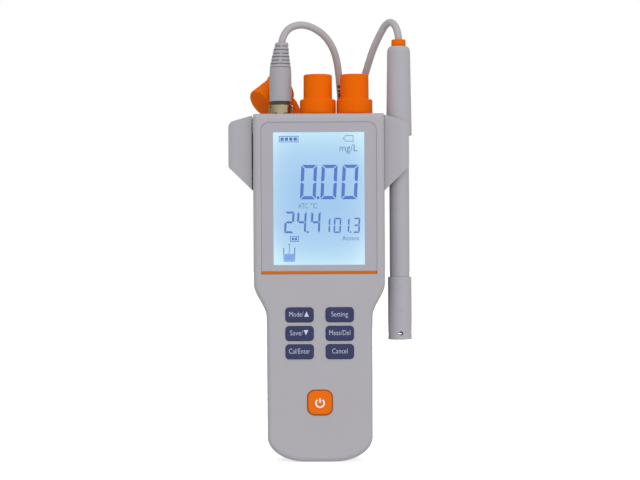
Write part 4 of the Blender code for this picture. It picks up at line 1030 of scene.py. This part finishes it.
def screw_mesh(x, z, head_y, head_r, head_h, tip_y):
    """A pan-head screw. The cross recess is turned with the head, so nothing is cut."""
    base = Matrix.Translation(place(x, head_y, z)) @ Matrix.Rotation(-math.pi / 2, 4, "X")
    depth, s, w = head_y - tip_y, head_r * 0.62, 0.3

    def cross(r, h, a):
        if h < -0.46 or r > s + 1e-6:
            return r
        c, n = max(abs(math.cos(a)), 1e-6), max(abs(math.sin(a)), 1e-6)
        return max(min(s / c, w / n), min(w / c, s / n))

    profile = [(0, -0.45), (s, -0.45)] + softened([(s, 0), (head_r * 0.85, 0), (head_r, -head_h * 0.45), (head_r, -head_h), (1.2, -head_h), (1.2, -depth + 1.0), (0.3, -depth), (0, -depth)], 0.15)
    return lathe(profile, 0, 0, 72, matrix=base, wobble=cross)


screw_obj = make("door_screw_cross", screw_mesh(0, DOOR_SCREW_Z, 17.9, 2.6, 0.6, 6.0), "steel", "door_screw_body", angle=35)
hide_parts("door_screw")
for (x, z), node in zip(SCREWS, ("case_screw_upper_left", "case_screw_upper_right", "case_screw_lower_left", "case_screw_lower_right")):
    obj = make(node.replace("case_screw", "shell_screw"), screw_mesh(x, z, 14.6, 2.5, 1.8, -11.0), "steel", "root", angle=35)
    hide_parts(node)
for foot_name, x, z in FEET:
    base = Matrix.Translation(place(x, 18.6, z)) @ Matrix.Rotation(-math.pi / 2, 4, "X")
    obj = make("rubber_foot_" + foot_name, lathe(softened([(0, 0), (3.7, 0), (3.7, -1.5), (0, -1.5)], 0.5, steps=4), 0, 0, 40, matrix=base), "black_rubber", "root", angle=50)
    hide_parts("foot_" + foot_name)
plate = bevelled(slab(rounded(0, 100.5, 39.4, 13.4, 1.7), 17.22, 17.48), 0.06, 1)
make("blank_rating_plate", plate, "bezel_grey", "root", angle=40)

wrap_r = HANK_R + CORD_D / 2
band_outer, band_inner = [], []
x_l, x_r = HANK_X - wrap_r, HANK_X + wrap_r
y_c = (LAYER_1_Y + LAYER_2_Y) / 2
w, d = (x_r - x_l), (LAYER_2_Y - LAYER_1_Y) + CORD_D
outer = rounded((x_l + x_r) / 2, y_c, w + 2.0, d + 2.0, 4.2, 10)
inner = rounded((x_l + x_r) / 2, y_c, w + 0.25, d + 0.25, 3.4, 10)
tie = bmesh.new()
levels = [155.2, 155.6, 159.0, 162.4, 162.8]
rows_o = [[tie.verts.new(place(a, b, lv)) for a, b in outer] for lv in levels]
rows_i = [[tie.verts.new(place(a, b, lv)) for a, b in inner] for lv in levels]
for rows in (rows_o, rows_i):
    for near, far in zip(rows, rows[1:]):
        for k in range(len(near)):
            j = (k + 1) % len(near)
            tie.faces.new((near[k], near[j], far[j], far[k]))
for a, b in ((rows_o[0], rows_i[0]), (rows_o[-1], rows_i[-1])):
    for k in range(len(a)):
        j = (k + 1) % len(a)
        tie.faces.new((a[k], a[j], b[j], b[k]))
tie_tab = bevelled(block(((2.0, 14.0), (LAYER_2_Y + CORD_D / 2 + 1.05, LAYER_2_Y + CORD_D / 2 + 1.25), (155.6, 162.4))), 0.08, 1)
tie_obj = make("cord_tie_band", joined(tie, tie_tab), "fabric_tie", "root", angle=40)
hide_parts("hank_tie")

# ------------------------------------------------------------------ CAD pieces that stay
shown = {o for o in nodes.values()}
for node, obj in nodes.items():
    mat = M[slot_of[node]]
    if len(obj.material_slots) == 0:
        obj.data.materials.append(mat)
    for s in obj.material_slots:
        s.material = mat

# ------------------------------------------------------------------ stage
WORLD_LOW, WORLD_HIGH = 0.56, 1.24
world = bpy.data.worlds.new("studio")
world.use_nodes = True
sky = world.node_tree
for old in list(sky.nodes):
    sky.nodes.remove(old)
sky_out = sky.nodes.new("ShaderNodeOutputWorld")
seen = sky.nodes.new("ShaderNodeBackground")
seen.inputs["Color"].default_value = (1, 1, 1, 1)
seen.inputs["Strength"].default_value = 1.0
light = sky.nodes.new("ShaderNodeBackground")
light.inputs["Color"].default_value = (1, 1, 1, 1)
sky_coord = sky.nodes.new("ShaderNodeTexCoord")
along = sky.nodes.new("ShaderNodeVectorMath")
along.operation = "DOT_PRODUCT"
front_up = Vector((0.22, -0.78, 0.55)).normalized()
along.inputs[1].default_value = front_up
spread = sky.nodes.new("ShaderNodeMapRange")
spread.inputs["From Min"].default_value = -0.15
spread.inputs["From Max"].default_value = 1.0
spread.inputs["To Min"].default_value = WORLD_LOW
spread.inputs["To Max"].default_value = WORLD_HIGH
ray = sky.nodes.new("ShaderNodeLightPath")
choice = sky.nodes.new("ShaderNodeMixShader")
sky.links.new(sky_coord.outputs["Generated"], along.inputs[0])
sky.links.new(along.outputs["Value"], spread.inputs["Value"])
sky.links.new(spread.outputs["Result"], light.inputs["Strength"])
sky.links.new(ray.outputs["Is Camera Ray"], choice.inputs["Fac"])
sky.links.new(light.outputs["Background"], choice.inputs[1])
sky.links.new(seen.outputs["Background"], choice.inputs[2])
sky.links.new(choice.outputs["Shader"], sky_out.inputs["Surface"])
bpy.context.scene.world = world
bpy.context.scene.view_settings.view_transform = "Standard"

floor_mat, floor_tree, floor_shader, floor_coord = new_material("pale_floor")
floor_shader.inputs["Base Color"].default_value = (0.9, 0.9, 0.9, 1)
floor_shader.inputs["Roughness"].default_value = 0.9
floor_shader.inputs["Specular IOR Level"].default_value = 0.1
floor_shader.inputs["Emission Color"].default_value = (1, 1, 1, 1)
floor_shader.inputs["Emission Strength"].default_value = 0.55
floor_bm = bmesh.new()
bmesh.ops.create_circle(floor_bm, cap_ends=True, segments=96, radius=6.0, matrix=Matrix.Translation((0, 0, (0 - GRIP_Z) * MM - 0.0002)))
floor = make("floor", floor_bm, floor_mat, smooth=False)
floor.visible_diffuse = False
floor.visible_glossy = False


def area(name, location, target, size, energy, colour=(1, 1, 1)):
    data = bpy.data.lights.new(name, "AREA")
    data.shape = "RECTANGLE"
    data.size, data.size_y = size
    data.energy = energy
    data.color = colour
    obj = bpy.data.objects.new(name, data)
    bpy.context.scene.collection.objects.link(obj)
    obj.location = location
    obj.rotation_euler = (Vector(target) - Vector(location)).to_track_quat("-Z", "Y").to_euler()
    return obj


area("key_softbox", (0.25, -1.1, 0.95), (0, 0, 0.08), (0.7, 0.5), 1.2)
area("back_softbox", (0.0, 1.5, 0.5), (0, 0, 0.08), (0.5, 0.5), 6.0)
